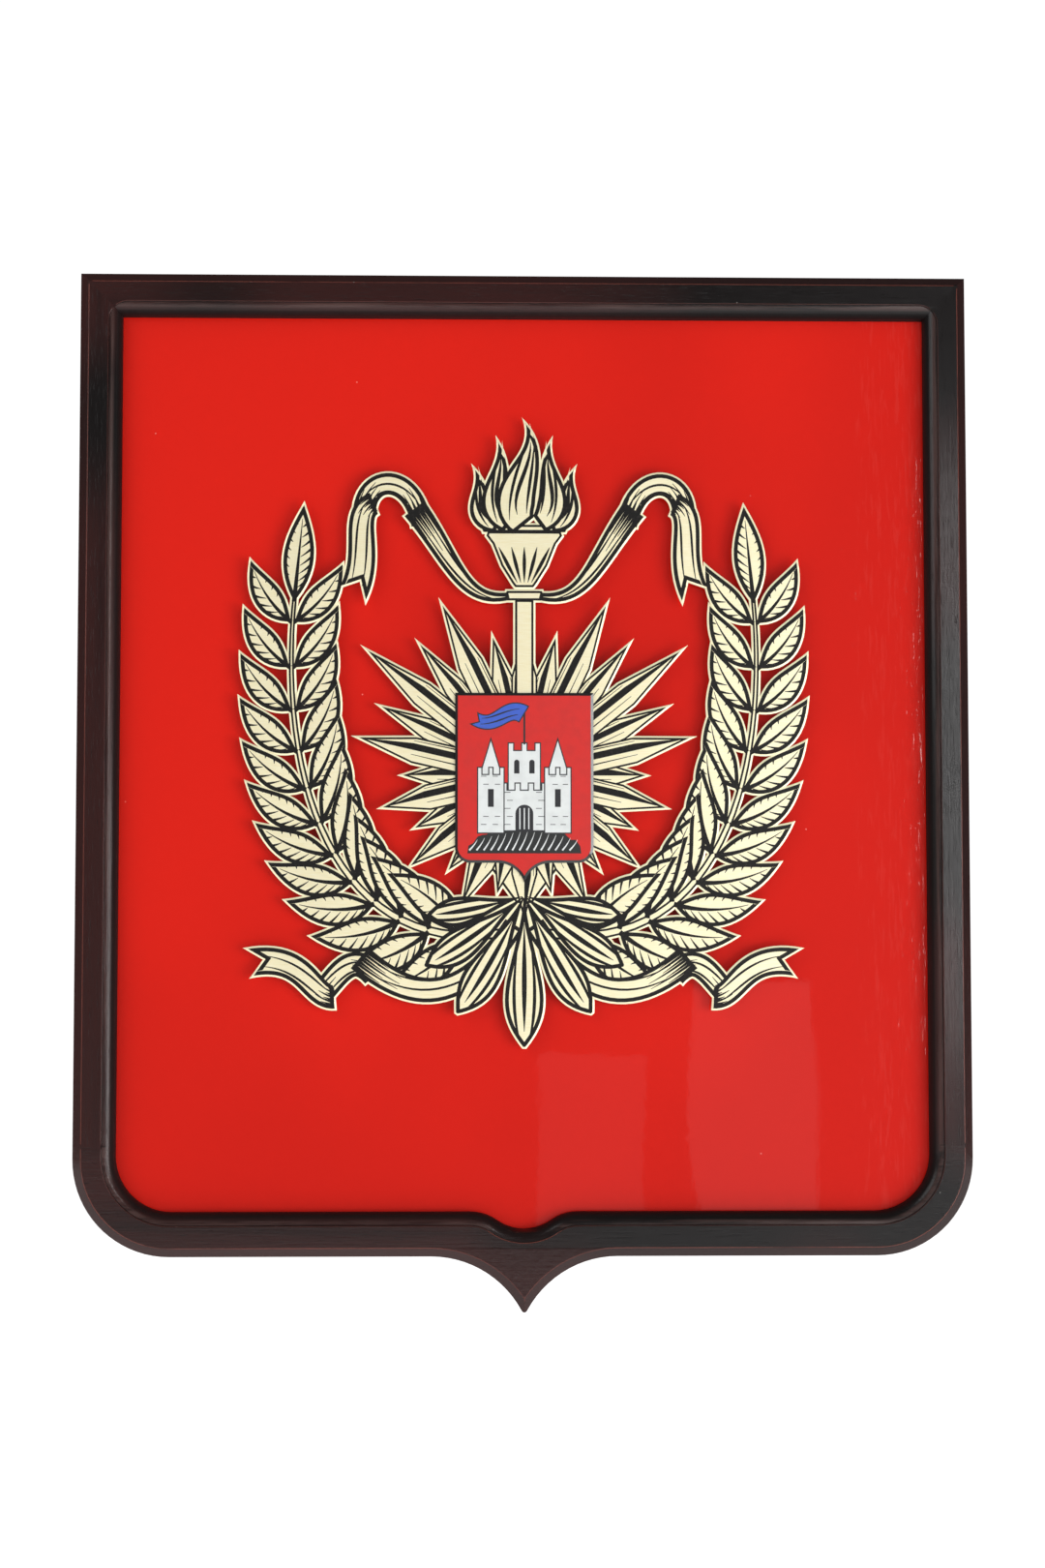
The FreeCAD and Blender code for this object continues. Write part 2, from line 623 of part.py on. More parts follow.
def hanging_ring(name, side):
    """A wire ring shaped like a D; its straight bar turns in the strap's barrel."""
    body = new_body(name)
    axis_depth = back - s.ring_wire_radius - s.running_clearance - s.strap_thickness
    path = wall_sketch(body, f"{name}_path", axis_depth, hanger_z)
    bind(path, ".AttachmentOffset.Base.x", side_land * side)
    a, bend, leg = s.ring_half_width.value, s.ring_bend.value, s.ring_leg.value
    geometry = (
        Part.LineSegment(Vector(bend - a, 0, 0), Vector(a - bend, 0, 0)),
        arc((a - bend, -bend), bend, 0, 90),
        Part.LineSegment(Vector(a, -bend, 0), Vector(a, -leg, 0)),
        arc((0, -leg), a, 180, 360),
        Part.LineSegment(Vector(-a, -leg, 0), Vector(-a, -bend, 0)),
        arc((bend - a, -bend), bend, 90, 180),
    )
    bar, bend_right, leg_right, bow, leg_left, bend_left = (path.addGeometry(piece) for piece in geometry)
    for first, second in ((bar, bend_right), (bend_right, leg_right), (leg_right, bow),
                          (bow, leg_left), (leg_left, bend_left), (bend_left, bar)):
        join(path, first, second, "Tangent")
    path.addConstraint(Sketcher.Constraint("Vertical", leg_right))
    path.addConstraint(Sketcher.Constraint("Symmetric", bar, 1, bar, 2, -2))
    path.addConstraint(Sketcher.Constraint("PointOnObject", bar, 1, -1))
    path.addConstraint(Sketcher.Constraint("Equal", bend_right, bend_left))
    measure(path, Sketcher.Constraint("Radius", bend_right, bend), s.ring_bend)
    measure(path, Sketcher.Constraint("Radius", bow, a), s.ring_half_width)
    measure(path, Sketcher.Constraint("DistanceY", leg_right, 2, -1, 1, leg), s.ring_leg)
    section = body.newObject("Sketcher::SketchObject", f"{name}_section")
    section.AttachmentSupport = (plane(body, "YZ_Plane"), "")
    section.MapMode = "FlatFace"
    bind(section, ".AttachmentOffset.Base.x", -axis_depth)
    bind(section, ".AttachmentOffset.Base.y", hanger_z)
    bind(section, ".AttachmentOffset.Base.z", side_land * side)
    wire = section.addGeometry(Part.Circle(Vector(), Vector(0, 0, 1), s.ring_wire_radius.value))
    section.addConstraint(Sketcher.Constraint("Coincident", wire, 3, -1, 1))
    measure(section, Sketcher.Constraint("Radius", wire, s.ring_wire_radius.value), s.ring_wire_radius)
    doc.recompute()
    pipe = body.newObject("PartDesign::AdditivePipe", f"{name}_wire")
    pipe.Profile = section
    pipe.Spine = (path, [])
    pipe.Transition = "Round corner"
    return body


for side_name, side in SIDES:
    pieces.append(hanger_strap(f"{side_name}_hanger_strap", side))
    pieces.append(hanging_ring(f"{side_name}_hanging_ring", side))
pieces.append(group("hanger_screws", [
    screw(f"{side_name}_hanger_screw", side_land * side, strap_screw_z, strap_head_depth)
    for side_name, side in SIDES]))

upper_bumper_x = opening_half - s.upper_bumper_radius
pieces.append(group("wall_bumpers", [
    disc("lower_bumper", 0, 0, s.bumper_radius, 0, s.bumper_thickness),
    disc("left_bumper", -upper_bumper_x, top_land, s.upper_bumper_radius, 0, s.bumper_thickness),
    disc("right_bumper", upper_bumper_x, top_land, s.upper_bumper_radius, 0, s.bumper_thickness)]))


# ---------------------------------------------------------------- small shield on the emblem

def shield_plate():
    body = new_body("shield_plate")
    sketch = wall_sketch(body, "shield_outline", shield_depth, emblem_z - s.shield_drop)
    pointed_outline(sketch, s.shield_width / 2, s.shield_height, s.shield_corner_radius,
                    s.shield_point_half_width, s.shield_point_drop)
    pad(body, "shield_pad", sketch, s.shield_thickness)
    return body


pieces.append(shield_plate())


# ---------------------------------------------------------------- emblem plate

# A torch between two laurel branches, with a glory of rays behind the small shield, ribbons above and
# below and a palmette at the foot, all cut out of one sheet. It is drawn flat, in X and Z round the
# emblem's middle, as overlapping outlines that are then joined. Side is -1 on the left, 1 on the right.
BRANCH = ((7, -90), (80, -104), (112, -30), (103, 62))
BRANCH_PAIRS = 12
FIRST_LEAVES, LAST_LEAVES = 0.10, 0.95
LEAF_SPLAY = 36
LEAF_WIDTH = 17
LEAF_LENGTHS = {-1: 43, 1: 44}
TIP_LEAF = (-5, 19, 42)
SPACED_PAIRS = (1, 5, 9)
SUN_Z = -20
RAYS = 28
RAY_HEEL = 16
RAY_REACH, RAY_LIFT = 68, 27
RAY_SHOULDER = 0.55
UPPER_RIBBON = (
    (((46, 92), (50, 118), (72, 116), (72, 98)), 11, 12, False),
    (((6, 61), (28, 56), (32, 78), (50, 101)), 5, 13, False),
    (((67, 103), (80, 98), (67, 80), (78, 60)), 12, 15, True),
)
LOWER_RIBBON = (
    (((66, -110), (78, -96), (84, -112), (92, -119)), 13, 12, False),
    (((4, -86), (28, -124), (50, -122), (74, -101)), 11, 14, False),
    (((84, -119), (96, -120), (96, -98), (124, -104)), 12, 14, True),
)
SWALLOW_TAIL = 0.55
PALMETTE_ROOT = (0, -74)
PALMETTE = ((74, 46, 15), (50, 56, 17), (25, 62, 18), (0, 68, 19))
FLAMES = (
    (((11, 93), (26, 98), (15, 108), (24, 121)), 13),
    (((6, 93), (21, 104), (5, 116), (13, 134)), 15),
)
MIDDLE_FLAME = (((0, 92), (-13, 108), (12, 122), (-1, 142)), 19)
TURNED_PARTS = (
    ((5, 60), (5, 20)),
    ((8.5, 64), (9.5, 61), (8.5, 58)),
    ((17, 91), (18, 88), (15, 84), (11, 74), (6, 66), (4.5, 64)),
    ((19, 94), (20, 91.5), (19, 89)),
    ((26, 10), (26, -48), (4, -78)),
)
SMALLEST_CUTOUT = 3.0


def flat(x, z):
    return Vector(x, 0, z)


def turned(direction, degrees):
    """A flat direction turned anticlockwise, as seen from the front."""
    a = math.radians(degrees)
    return flat(direction.x * math.cos(a) - direction.z * math.sin(a),
                direction.x * math.sin(a) + direction.z * math.cos(a))


def along_curve(points, t):
    """The point and the unit tangent at t of a Bezier curve."""
    curve = Part.BezierCurve()
    curve.setPoles(points)
    return curve.value(t), curve.tangent(t)[0]


def mirrored(points, side):
    return [flat(side * x, z) for x, z in points]


def polygon_face(corners):
    return Part.Face(Part.makePolygon(corners + corners[:1]))


def strip_face(points, half, count=10, notch=0.0):
    """A face along a curve: half gives its half width at u from 0 to 1, notch cuts a swallow tail."""
    sides = ([], [])
    for step in range(count + 1):
        u = step / count
        point, tangent = along_curve(points, u)
        offset = turned(tangent, 90) * half(u)
        sides[0].append(point + offset)
        sides[1].append(point - offset)
    edges = []
    for row in sides:
        curve = Part.BSplineCurve()
        curve.interpolate(row)
        edges.append(curve.toShape())
    end, tangent = along_curve(points, 1.0)
    corner = end - tangent * notch
    far_end = [sides[0][-1], corner, sides[1][-1]] if notch else [sides[0][-1], sides[1][-1]]
    for row in ([sides[0][0], sides[1][0]], far_end):
        edges += [Part.makeLine(a, b) for a, b in zip(row, row[1:]) if a.distanceToPoint(b) > 1e-6]
    return Part.Face(Part.Wire(Part.sortEdges(edges)[0]))


def leaf_curves(side):
    """The centre line and the width of each leaf: the last one, then outer and inner by pairs."""
    branch = mirrored(BRANCH, 1)
    end, along = along_curve(branch, 1.0)
    curves = [([end + along * step for step in TIP_LEAF], LEAF_WIDTH * 0.9)]
    for pair in range(BRANCH_PAIRS):
        t = FIRST_LEAVES + (LAST_LEAVES - FIRST_LEAVES) * pair / (BRANCH_PAIRS - 1)
        root, along = along_curve(branch, t)
        taper = 1.06 - 0.24 * t
        for flank, length in LEAF_LENGTHS.items():
            reach = turned(along, flank * LEAF_SPLAY) * (length * taper)
            bow = turned(along, flank * LEAF_SPLAY * 1.55) * (length * taper * 0.5)
            curves.append(([root, root + bow, root + reach], LEAF_WIDTH * taper))
    return [([flat(side * p.x, p.z) for p in curve], width) for curve, width in curves]


def branch_faces(side):
    faces = [strip_face(mirrored(BRANCH, side), lambda u: 3.1 - 1.2 * u, 20)]
    for curve, width in leaf_curves(side):
        faces.append(strip_face(curve, lambda u, w=width: w / 2 * math.sin(math.pi * u**0.85), 12))
    return faces


def ray_faces():
    faces = []
    sun = flat(0, SUN_Z)
    for number in range(RAYS):
        angle = math.pi / 2 + 2 * math.pi * number / RAYS
        lift = abs(math.sin(2 * angle)) if math.sin(angle) > 0 else 0.0
        reach = (RAY_REACH + RAY_LIFT * lift) * (0.84 if number % 2 else 1.0)
        half = 6.0 if number % 2 else 6.75
        out = flat(math.cos(angle), math.sin(angle))
        across = turned(out, 90) * half
        heel = sun + out * RAY_HEEL
        shoulder = heel + out * ((reach - RAY_HEEL) * RAY_SHOULDER)
        faces.append(polygon_face([heel - across, shoulder - across, sun + out * reach,
                                   shoulder + across, heel + across]))
    return faces


def palmette_faces():
    faces = []
    root = flat(*PALMETTE_ROOT)
    for spread, length, width in PALMETTE:
        for side in (-1, 1) if spread else (1,):
            out = turned(flat(0, -1), spread * side)
            curl = turned(out, 26 * side if spread else 0)
            tip = root + out * (length * 0.80) + curl * (length * 0.2)
            faces.append(strip_face([root, root + out * (length * 0.62), tip],
                                    lambda u, w=width: w / 2 * math.sin(math.pi * (0.04 + 0.93 * u**1.5)), 16))
    return faces


def flame_face(points, width, side):
    return strip_face(mirrored(points, side),
                      lambda u: width / 2 * math.sin(math.pi * (0.10 + 0.90 * u) ** 0.62), 16)


def joined_face(faces):
    """One face for overlapping faces: its rim is every edge that only one of their parts has."""
    parts = faces[0].multiFuse(faces[1:])
    owners = {}
    for part in parts.Faces:
        for edge in part.Edges:
            owners.setdefault(edge.hashCode(), []).append(edge)
    rim = [edges[0] for edges in owners.values() if len(edges) == 1]
    wires = [Part.Wire(loop) for loop in Part.sortEdges(rim)]
    wires = [wire for wire in wires if Part.Face(wire).Area > SMALLEST_CUTOUT]
    sheet = Part.makeFace(wires, "Part::FaceMakerBullseye")
    if len(sheet.Faces) != 1:
        raise RuntimeError(f"the emblem falls into {len(sheet.Faces)} pieces")
    return sheet.Faces[0]


def emblem_plate():
    faces = ray_faces() + palmette_faces() + [flame_face(*MIDDLE_FLAME, 1)]
    for rows in TURNED_PARTS:
        faces.append(polygon_face(mirrored(rows, 1) + mirrored(reversed(rows), -1)))
    for side in (-1, 1):
        faces += branch_faces(side)
        faces += [flame_face(points, width, side) for points, width in FLAMES]
        for points, first, last, tailed in UPPER_RIBBON + LOWER_RIBBON:
            faces.append(strip_face(mirrored(points, side), lambda u, a=first, b=last: (a + (b - a) * u) / 2,
                                    16, last * SWALLOW_TAIL if tailed else 0.0))
    plate = doc.addObject("Part::Feature", "emblem_plate")
    outline = joined_face(faces).scaled(s.emblem_scale.value)
    plate.Shape = outline.extrude(Vector(0, -s.emblem_thickness.value, 0))
    place(plate, 0, -emblem_depth, emblem_z)
    return plate


def emblem_spacers():
    spots = [flat(0, 61), flat(0, -104)]
    for side in (-1, 1):
        for pair in SPACED_PAIRS:
            curve, _ = leaf_curves(side)[1 + 2 * pair]
            spots.append(along_curve(curve, 0.42)[0])
    return group("emblem_spacers", [
        disc(f"emblem_spacer_{number}", s.emblem_scale * spot.x, emblem_z + s.emblem_scale * spot.z,
             s.spacer_radius, panel_front, s.emblem_gap) for number, spot in enumerate(spots, start=1)])


pieces.append(emblem_plate())
pieces.append(emblem_spacers())


# ---------------------------------------------------------------- check and write

doc.recompute()
faults = [f"{thing.Label}: {thing.getStatusString()}" for thing in doc.Objects
          if "Invalid" in thing.State or "Error" in thing.State]
faults += [f"{piece.Label}: bad shape" for piece in pieces
           if piece.Shape.isNull() or not piece.Shape.isValid() or not piece.Shape.Solids]
if faults:
    raise RuntimeError("; ".join(faults))

os.makedirs("parts", exist_ok=True)
for piece in pieces:
    piece.Shape.exportStep(f"parts/{piece.Label}.step")
    print(f"{piece.Label}: {len(piece.Shape.Solids)} solids, {piece.Shape.Volume:.0f} mm3")
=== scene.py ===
import json
import math

import bpy
import numpy as np
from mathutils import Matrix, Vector, geometry


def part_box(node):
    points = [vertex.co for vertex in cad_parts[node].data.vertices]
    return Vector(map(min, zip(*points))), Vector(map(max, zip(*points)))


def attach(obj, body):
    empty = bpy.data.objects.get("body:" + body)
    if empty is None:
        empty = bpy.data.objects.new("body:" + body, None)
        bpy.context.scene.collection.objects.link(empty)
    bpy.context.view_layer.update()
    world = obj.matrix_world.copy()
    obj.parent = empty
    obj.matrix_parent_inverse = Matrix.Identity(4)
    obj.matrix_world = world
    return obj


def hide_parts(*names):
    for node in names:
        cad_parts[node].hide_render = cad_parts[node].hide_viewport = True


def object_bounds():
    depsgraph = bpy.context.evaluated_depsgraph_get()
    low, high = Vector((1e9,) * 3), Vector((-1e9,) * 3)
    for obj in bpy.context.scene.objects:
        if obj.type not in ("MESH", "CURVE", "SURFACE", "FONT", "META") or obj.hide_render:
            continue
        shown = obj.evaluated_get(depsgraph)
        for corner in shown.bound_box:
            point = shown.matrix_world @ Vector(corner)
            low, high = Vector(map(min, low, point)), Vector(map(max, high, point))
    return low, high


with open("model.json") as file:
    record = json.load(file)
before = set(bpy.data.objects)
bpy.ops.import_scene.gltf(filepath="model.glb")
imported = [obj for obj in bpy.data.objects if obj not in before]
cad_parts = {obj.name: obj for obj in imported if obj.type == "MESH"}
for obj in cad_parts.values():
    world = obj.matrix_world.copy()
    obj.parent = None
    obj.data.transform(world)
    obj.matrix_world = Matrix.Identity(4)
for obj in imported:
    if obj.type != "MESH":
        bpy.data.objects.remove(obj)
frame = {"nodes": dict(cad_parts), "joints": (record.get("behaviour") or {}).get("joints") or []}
packed_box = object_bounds()
nodes = frame["nodes"]
mm = 0.001


# ================================================================ the moulded frame
#
# Four pieces of fine-grained hardwood: the top rail and two stiles, mitred and nailed at the top, and a
# wide bottom board sawn to the shield's foot, dowelled to the stiles. Stained nearly black and lacquered;
# the arrises have been rubbed through to a reddish ground, the crest of the bead is rubbed and carries a
# painted highlight, and the quirk and the bead's inner slope are painted dark as shade.

FOOT_CORNER = 43 * mm
FOOT_OVER_BUMPER = 16 * mm
BEVEL_FOOT_Y = -21 * mm
FRONT_Y = -25 * mm
BEAD_CREST_Y = -24 * mm
BACK_Y = -5 * mm
BEAD_ZONE = 12 * mm
ARRIS_ROUND = 0.6 * mm

MITRE = 250 * mm
BOARD_JOINT_Z = 58.8 * mm
STAIN_DRIFT = (0.0, 34.3, 0.0)

STAIN_BLACK = (0.0060, 0.0045, 0.0045, 1)
STAIN_BROWN = (0.0380, 0.0105, 0.0095, 1)
# the pores' near black, also used for painted shade in the quirk and on the bead's inner slope
STAIN_PORE = (0.0030, 0.0020, 0.0020, 1)
RUBBED = (0.260, 0.066, 0.046, 1)
# rubbed ground on the bead's crest, lightened as a painted highlight
CREST_RUBBED_AND_HIGHLIGHT = (0.125, 0.070, 0.062, 1)
BACK_STAIN = (0.072, 0.036, 0.022, 1)
DUST = (0.42, 0.40, 0.37, 1)


def new_finish(name, **plain):
    """A material, its node tree and its shader; plain sockets are set by name: Coat_Weight=0.5."""
    material = bpy.data.materials.new(name)
    material.use_nodes = True
    tree = material.node_tree
    shader = tree.nodes["Principled BSDF"]
    for socket, value in plain.items():
        shader.inputs[socket.replace("_", " ")].default_value = value
    return material, tree, shader


def add(tree, kind, settings=None, out=0, **sockets):
    """Add a node and return one of its outputs; a socket takes a value or the output that feeds it."""
    made = tree.nodes.new("ShaderNode" + kind)
    for key, value in (settings or {}).items():
        setattr(made, key, value)
    for key, value in sockets.items():
        socket = made.inputs[int(key[1:])] if key[1:].isdigit() else made.inputs[key.replace("_", " ")]
        if isinstance(value, bpy.types.NodeSocket):
            tree.links.new(value, socket)
        else:
            socket.default_value = value
    return made.outputs[out]


def reckon(tree, operation, a, b=0.0):
    return add(tree, "Math", {"operation": operation}, s0=a, s1=b)


def times(tree, a, b):
    return reckon(tree, "MULTIPLY", a, b)


def plus(tree, a, b):
    return reckon(tree, "ADD", a, b)


def less(tree, a, b):
    return reckon(tree, "SUBTRACT", a, b)


def larger(tree, a, b):
    return reckon(tree, "MAXIMUM", a, b)


def size_of(tree, value):
    return reckon(tree, "ABSOLUTE", value)


def rise(tree, value, low, high):
    """0 below low, 1 above high and smooth between; low may be the larger one."""
    return add(tree, "MapRange", {"interpolation_type": "SMOOTHSTEP"}, s0=value, s1=low, s2=high)


def laid_over(tree, share, under, over):
    """The colour over laid on the colour under, by that share."""
    return add(tree, "Mix", {"data_type": "RGBA"}, out=2, s0=share, s6=under, s7=over)


def cloud(tree, place, scale, detail=3.0, roughness=0.55, distortion=0.0):
    return add(tree, "TexNoise", Vector=place, Scale=scale, Detail=detail, Roughness=roughness,
               Distortion=distortion)


def stretched(tree, place, x=1.0, y=1.0, z=1.0):
    return add(tree, "Mapping", Vector=place, Scale=(x, y, z))


def relief(tree, height, depth, strength=1.0, under=None):
    """A bump of that depth, in metres, on top of the normal under."""
    sockets = {"Height": height, "Distance": depth, "Strength": strength}
    if under:
        sockets["Normal"] = under
    return add(tree, "Bump", **sockets)


def wire_up(tree, shader, **sockets):
    for key, source in sockets.items():
        tree.links.new(source, shader.inputs[key.replace("_", " ")])


def wear(material, node_name):
    """Give a CAD node's object that material alone."""
    mesh = nodes[node_name].data
    mesh.materials.clear()
    mesh.materials.append(material)


def inset_from_outline(tree, x, z):
    """Distance in from the frame's outer outline, negative inside, the foot's point left aside."""
    low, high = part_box("top_rail")
    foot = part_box("wall_bumpers")[0].z + FOOT_OVER_BUMPER
    across = less(tree, size_of(tree, x), high.x - FOOT_CORNER)
    down = less(tree, foot + FOOT_CORNER, z)
    out_x, out_z = larger(tree, across, 0.0), larger(tree, down, 0.0)
    square = plus(tree, times(tree, out_x, out_x), times(tree, out_z, out_z))
    inner = reckon(tree, "MINIMUM", larger(tree, across, down), 0.0)
    sides = less(tree, plus(tree, reckon(tree, "SQRT", square), inner), FOOT_CORNER)
    return larger(tree, sides, less(tree, z, high.z))


def clear_of_joints(tree, x, z):
    """0 on the two mitres and on the joints between the stiles and the bottom board, 1 elsewhere."""
    skew = plus(tree, less(tree, size_of(tree, x), z), MITRE)
    mitre = rise(tree, size_of(tree, skew), 1.0 * mm, 1.8 * mm)
    level = size_of(tree, less(tree, z, BOARD_JOINT_Z))
    return times(tree, mitre, rise(tree, level, 0.8 * mm, 1.4 * mm))


def stained_wood(name, run):
    """Dark stain under satin lacquer on wood whose grain runs along x or z."""
    material, tree, shader = new_finish(name, Specular_IOR_Level=0.18, Coat_Roughness=0.13, Coat_IOR=1.5)
    place = add(tree, "TexCoord", out=3)
    spots = tree.nodes.new("ShaderNodeSeparateXYZ")
    tree.links.new(place, spots.inputs[0])
    x, y, z = spots.outputs
    along = {"x": (0.045, 1.0, 1.0), "z": (1.0, 1.0, 0.045)}[run]
    grain = stretched(tree, place, *along)
    fibres = cloud(tree, grain, 1150, 6, 0.62)
    figure = cloud(tree, grain, 95, 4, 0.5, 0.6)
    pores = rise(tree, cloud(tree, grain, 2600, 2, 0.5), 0.60, 0.70)
    patches = cloud(tree, place, 46, 3, 0.6)
    drift = add(tree, "VectorMath", {"operation": "ADD"}, s0=place, s1=STAIN_DRIFT)
    # the stain runs browner, so lighter, towards the left stile and blacker towards the right
    shades = less(tree, cloud(tree, drift, 4.2, 2, 0.5), times(tree, x, 0.30))
    brown = times(tree, rise(tree, shades, 0.41, 0.53), rise(tree, figure, 0.12, 0.55))
    stain = laid_over(tree, brown, STAIN_BLACK, STAIN_BROWN)
    stain = laid_over(tree, times(tree, fibres, 0.40), stain, STAIN_BLACK)
    stain = laid_over(tree, times(tree, pores, 0.65), stain, STAIN_PORE)

    # rubbed arrises, where a rounded normal leaves the true one: the bevel's two edges and, less, the step
    rounded = add(tree, "Bevel", {"samples": 6}, Radius=ARRIS_ROUND)
    true = add(tree, "NewGeometry", out=1)
    agree = add(tree, "VectorMath", {"operation": "DOT_PRODUCT"}, out=1, s0=rounded, s1=true)
    unbroken = clear_of_joints(tree, x, z)
    edge = times(tree, rise(tree, agree, 0.998, 0.965), unbroken)
    inset = inset_from_outline(tree, x, z)
    inside = rise(tree, inset, -BEAD_ZONE + mm, -BEAD_ZONE)
    on_front = rise(tree, y, FRONT_Y + 0.8 * mm, FRONT_Y + 0.4 * mm)
    on_front = times(tree, on_front, add(tree, "MapRange", s0=inside, s3=1.0, s4=0.3))
    on_bevel = rise(tree, size_of(tree, less(tree, y, BEVEL_FOOT_Y)), 1.0 * mm, 0.5 * mm)
    fine_patches = cloud(tree, grain, 310, 4, 0.7)
    worn = times(tree, edge, larger(tree, on_front, on_bevel))
    worn = times(tree, worn, rise(tree, plus(tree, patches, fine_patches), 0.58, 1.02))
    # the bead's crest: rubbed through, and painted with a pale highlight along it
    crest_wear_and_highlight = times(tree, inside, rise(tree, y, BEAD_CREST_Y + 0.70 * mm, BEAD_CREST_Y + 0.05 * mm))
    crest_wear_and_highlight = times(tree, crest_wear_and_highlight, rise(tree, y, BEAD_CREST_Y - 0.35 * mm, BEAD_CREST_Y - 0.12 * mm))
    crest_wear_and_highlight = times(tree, crest_wear_and_highlight, rise(tree, fine_patches, 0.34, 0.62))
    colour = laid_over(tree, times(tree, worn, 0.85), stain, RUBBED)
    colour = laid_over(tree, times(tree, crest_wear_and_highlight, 0.42), colour, CREST_RUBBED_AND_HIGHLIGHT)
    on_side = rise(tree, inset, -4.2 * mm, -3.2 * mm)
    colour = laid_over(tree, times(tree, on_side, 0.45), colour, STAIN_BROWN)

    # the quirk, where the bead's shelf meets the step: painted near black as the shade of the crease, and
    # left without lacquer
    on_shelf = rise(tree, size_of(tree, less(tree, y, BEAD_CREST_Y)), 0.45 * mm, 0.25 * mm)
    quirk_shade = times(tree, times(tree, inside, on_shelf), rise(tree, agree, 0.988, 0.94))
    colour = laid_over(tree, quirk_shade, colour, STAIN_PORE)

    # the bead's inner slope, painted darker as shade, and thin in lacquer
    shaded_slope = times(tree, inside, rise(tree, y, BEAD_CREST_Y + 0.5 * mm, BEAD_CREST_Y + 1.6 * mm))
    colour = laid_over(tree, times(tree, shaded_slope, 0.7), colour, STAIN_PORE)

    # a little lint and dust caught in the lacquer
    grains = tree.nodes.new("ShaderNodeTexVoronoi")
    grains.inputs["Scale"].default_value = 520
    tree.links.new(place, grains.inputs["Vector"])
    chosen = rise(tree, grains.outputs["Color"], 0.958, 0.962)
    speck = times(tree, chosen, rise(tree, grains.outputs["Distance"], 0.16, 0.09))
    colour = laid_over(tree, times(tree, speck, 0.55), colour, DUST)

    # the back is stained but not lacquered, and still shows the planer's ripple
    behind = rise(tree, y, BACK_Y - 0.9 * mm, BACK_Y - 0.2 * mm)
    raw = laid_over(tree, fibres, BACK_STAIN, STAIN_BROWN)
    colour = laid_over(tree, behind, colour, raw)
    ripple = add(tree, "TexWave", {"bands_direction": run.upper()}, Vector=place, Scale=70, Distortion=0.6,
                 Detail=1.0, Detail_Scale=1.0)
    rough = plus(tree, times(tree, fibres, 0.20), 0.20)
    rough = plus(tree, rough, times(tree, worn, 0.22))
    rough = larger(tree, rough, times(tree, larger(tree, behind, shaded_slope), 0.78))
    bare = larger(tree, larger(tree, quirk_shade, behind), times(tree, shaded_slope, 0.75))
    lacquer = times(tree, less(tree, 1.0, bare), 0.34)

    # cutter chatter on the bevel, fibres that stand up a little under the lacquer, and nicks in the arris
    chatter = times(tree, on_side, cloud(tree, stretched(tree, place, 1.0, 0.15, 1.0), 420, 1, 0.4))
    nicks = rise(tree, cloud(tree, place, 240, 2, 0.5), 0.66, 0.74)
    soft = add(tree, "Mix", {"data_type": "VECTOR"}, out=1, s0=unbroken, s4=true, s5=rounded)
    normal = relief(tree, fibres, 0.045 * mm, under=soft)
    normal = relief(tree, pores, -0.02 * mm, under=normal)
    normal = relief(tree, chatter, 0.07 * mm, under=normal)
    normal = relief(tree, times(tree, nicks, edge), -0.25 * mm, under=normal)
    normal = relief(tree, times(tree, ripple, behind), 0.06 * mm, under=normal)
    wire_up(tree, shader, Base_Color=colour, Roughness=rough, Coat_Weight=lacquer, Normal=normal,
            Coat_Normal=normal)
    return material


cross_grain = stained_wood("stained_wood_across", "x")
upright_grain = stained_wood("stained_wood_upright", "z")
for piece in ("top_rail", "bottom_board"):
    wear(cross_grain, piece)
for piece in ("left_stile", "right_stile"):
    wear(upright_grain, piece)


# ================================================================ nails and dowels in the frame's joints
#
# V-nails of blued sheet steel, sunk in the back across the two top mitres, and fluted beech dowels,
# two to a joint, glued half in the stile and half in the bottom board.

NAIL_BLUE = (0.090, 0.095, 0.110, 1)
NAIL_RUST = (0.110, 0.045, 0.020, 1)
BEECH_PALE = (0.560, 0.380, 0.220, 1)
BEECH_FLECK = (0.330, 0.190, 0.095, 1)


def nail_steel():
    material, tree, shader = new_finish("nail_steel", Metallic=0.9)
    place = add(tree, "TexCoord", out=3)
    bloom = cloud(tree, place, 700, 5, 0.65)
    colour = laid_over(tree, rise(tree, bloom, 0.55, 0.75), NAIL_BLUE, NAIL_RUST)
    rough = plus(tree, times(tree, bloom, 0.35), 0.25)
    wire_up(tree, shader, Base_Color=colour, Roughness=rough, Normal=relief(tree, bloom, 0.02 * mm))
    return material


def beech():
    material, tree, shader = new_finish("dowel_beech", IOR=1.45)
    place = add(tree, "TexCoord", out=3)
    fleck = cloud(tree, stretched(tree, place, z=0.08), 1500, 3, 0.5)
    colour = laid_over(tree, rise(tree, fleck, 0.5, 0.7), BEECH_PALE, BEECH_FLECK)
    rough = plus(tree, times(tree, fleck, 0.2), 0.55)
    wire_up(tree, shader, Base_Color=colour, Roughness=rough, Normal=relief(tree, fleck, 0.05 * mm))
    return material


wear(nail_steel(), "mitre_nails")
wear(beech(), "stile_dowels")


# ================================================================ the boards in the rebate
#
# A hardboard back with its screen-marked side outwards, and a grey board behind the panel that takes up
# the play. Both lie loose in the rebate and are held by the turn buttons.

HARDBOARD = (0.215, 0.118, 0.062, 1)
HARDBOARD_DARK = (0.105, 0.055, 0.030, 1)
HARDBOARD_PALE = (0.330, 0.205, 0.115, 1)
SCREEN_PITCH = 1.5 * mm
GREYBOARD = (0.380, 0.345, 0.300, 1)
GREYBOARD_FLECK = (0.210, 0.190, 0.170, 1)


def weave_line(tree, place, direction, pitch):
    """A row of soft ridges across that direction."""
    wave = add(tree, "TexWave", {"bands_direction": direction}, Vector=place, Scale=math.pi / (10 * pitch),
               Distortion=0.25, Detail=1.0, Detail_Scale=2.0)
    return wave


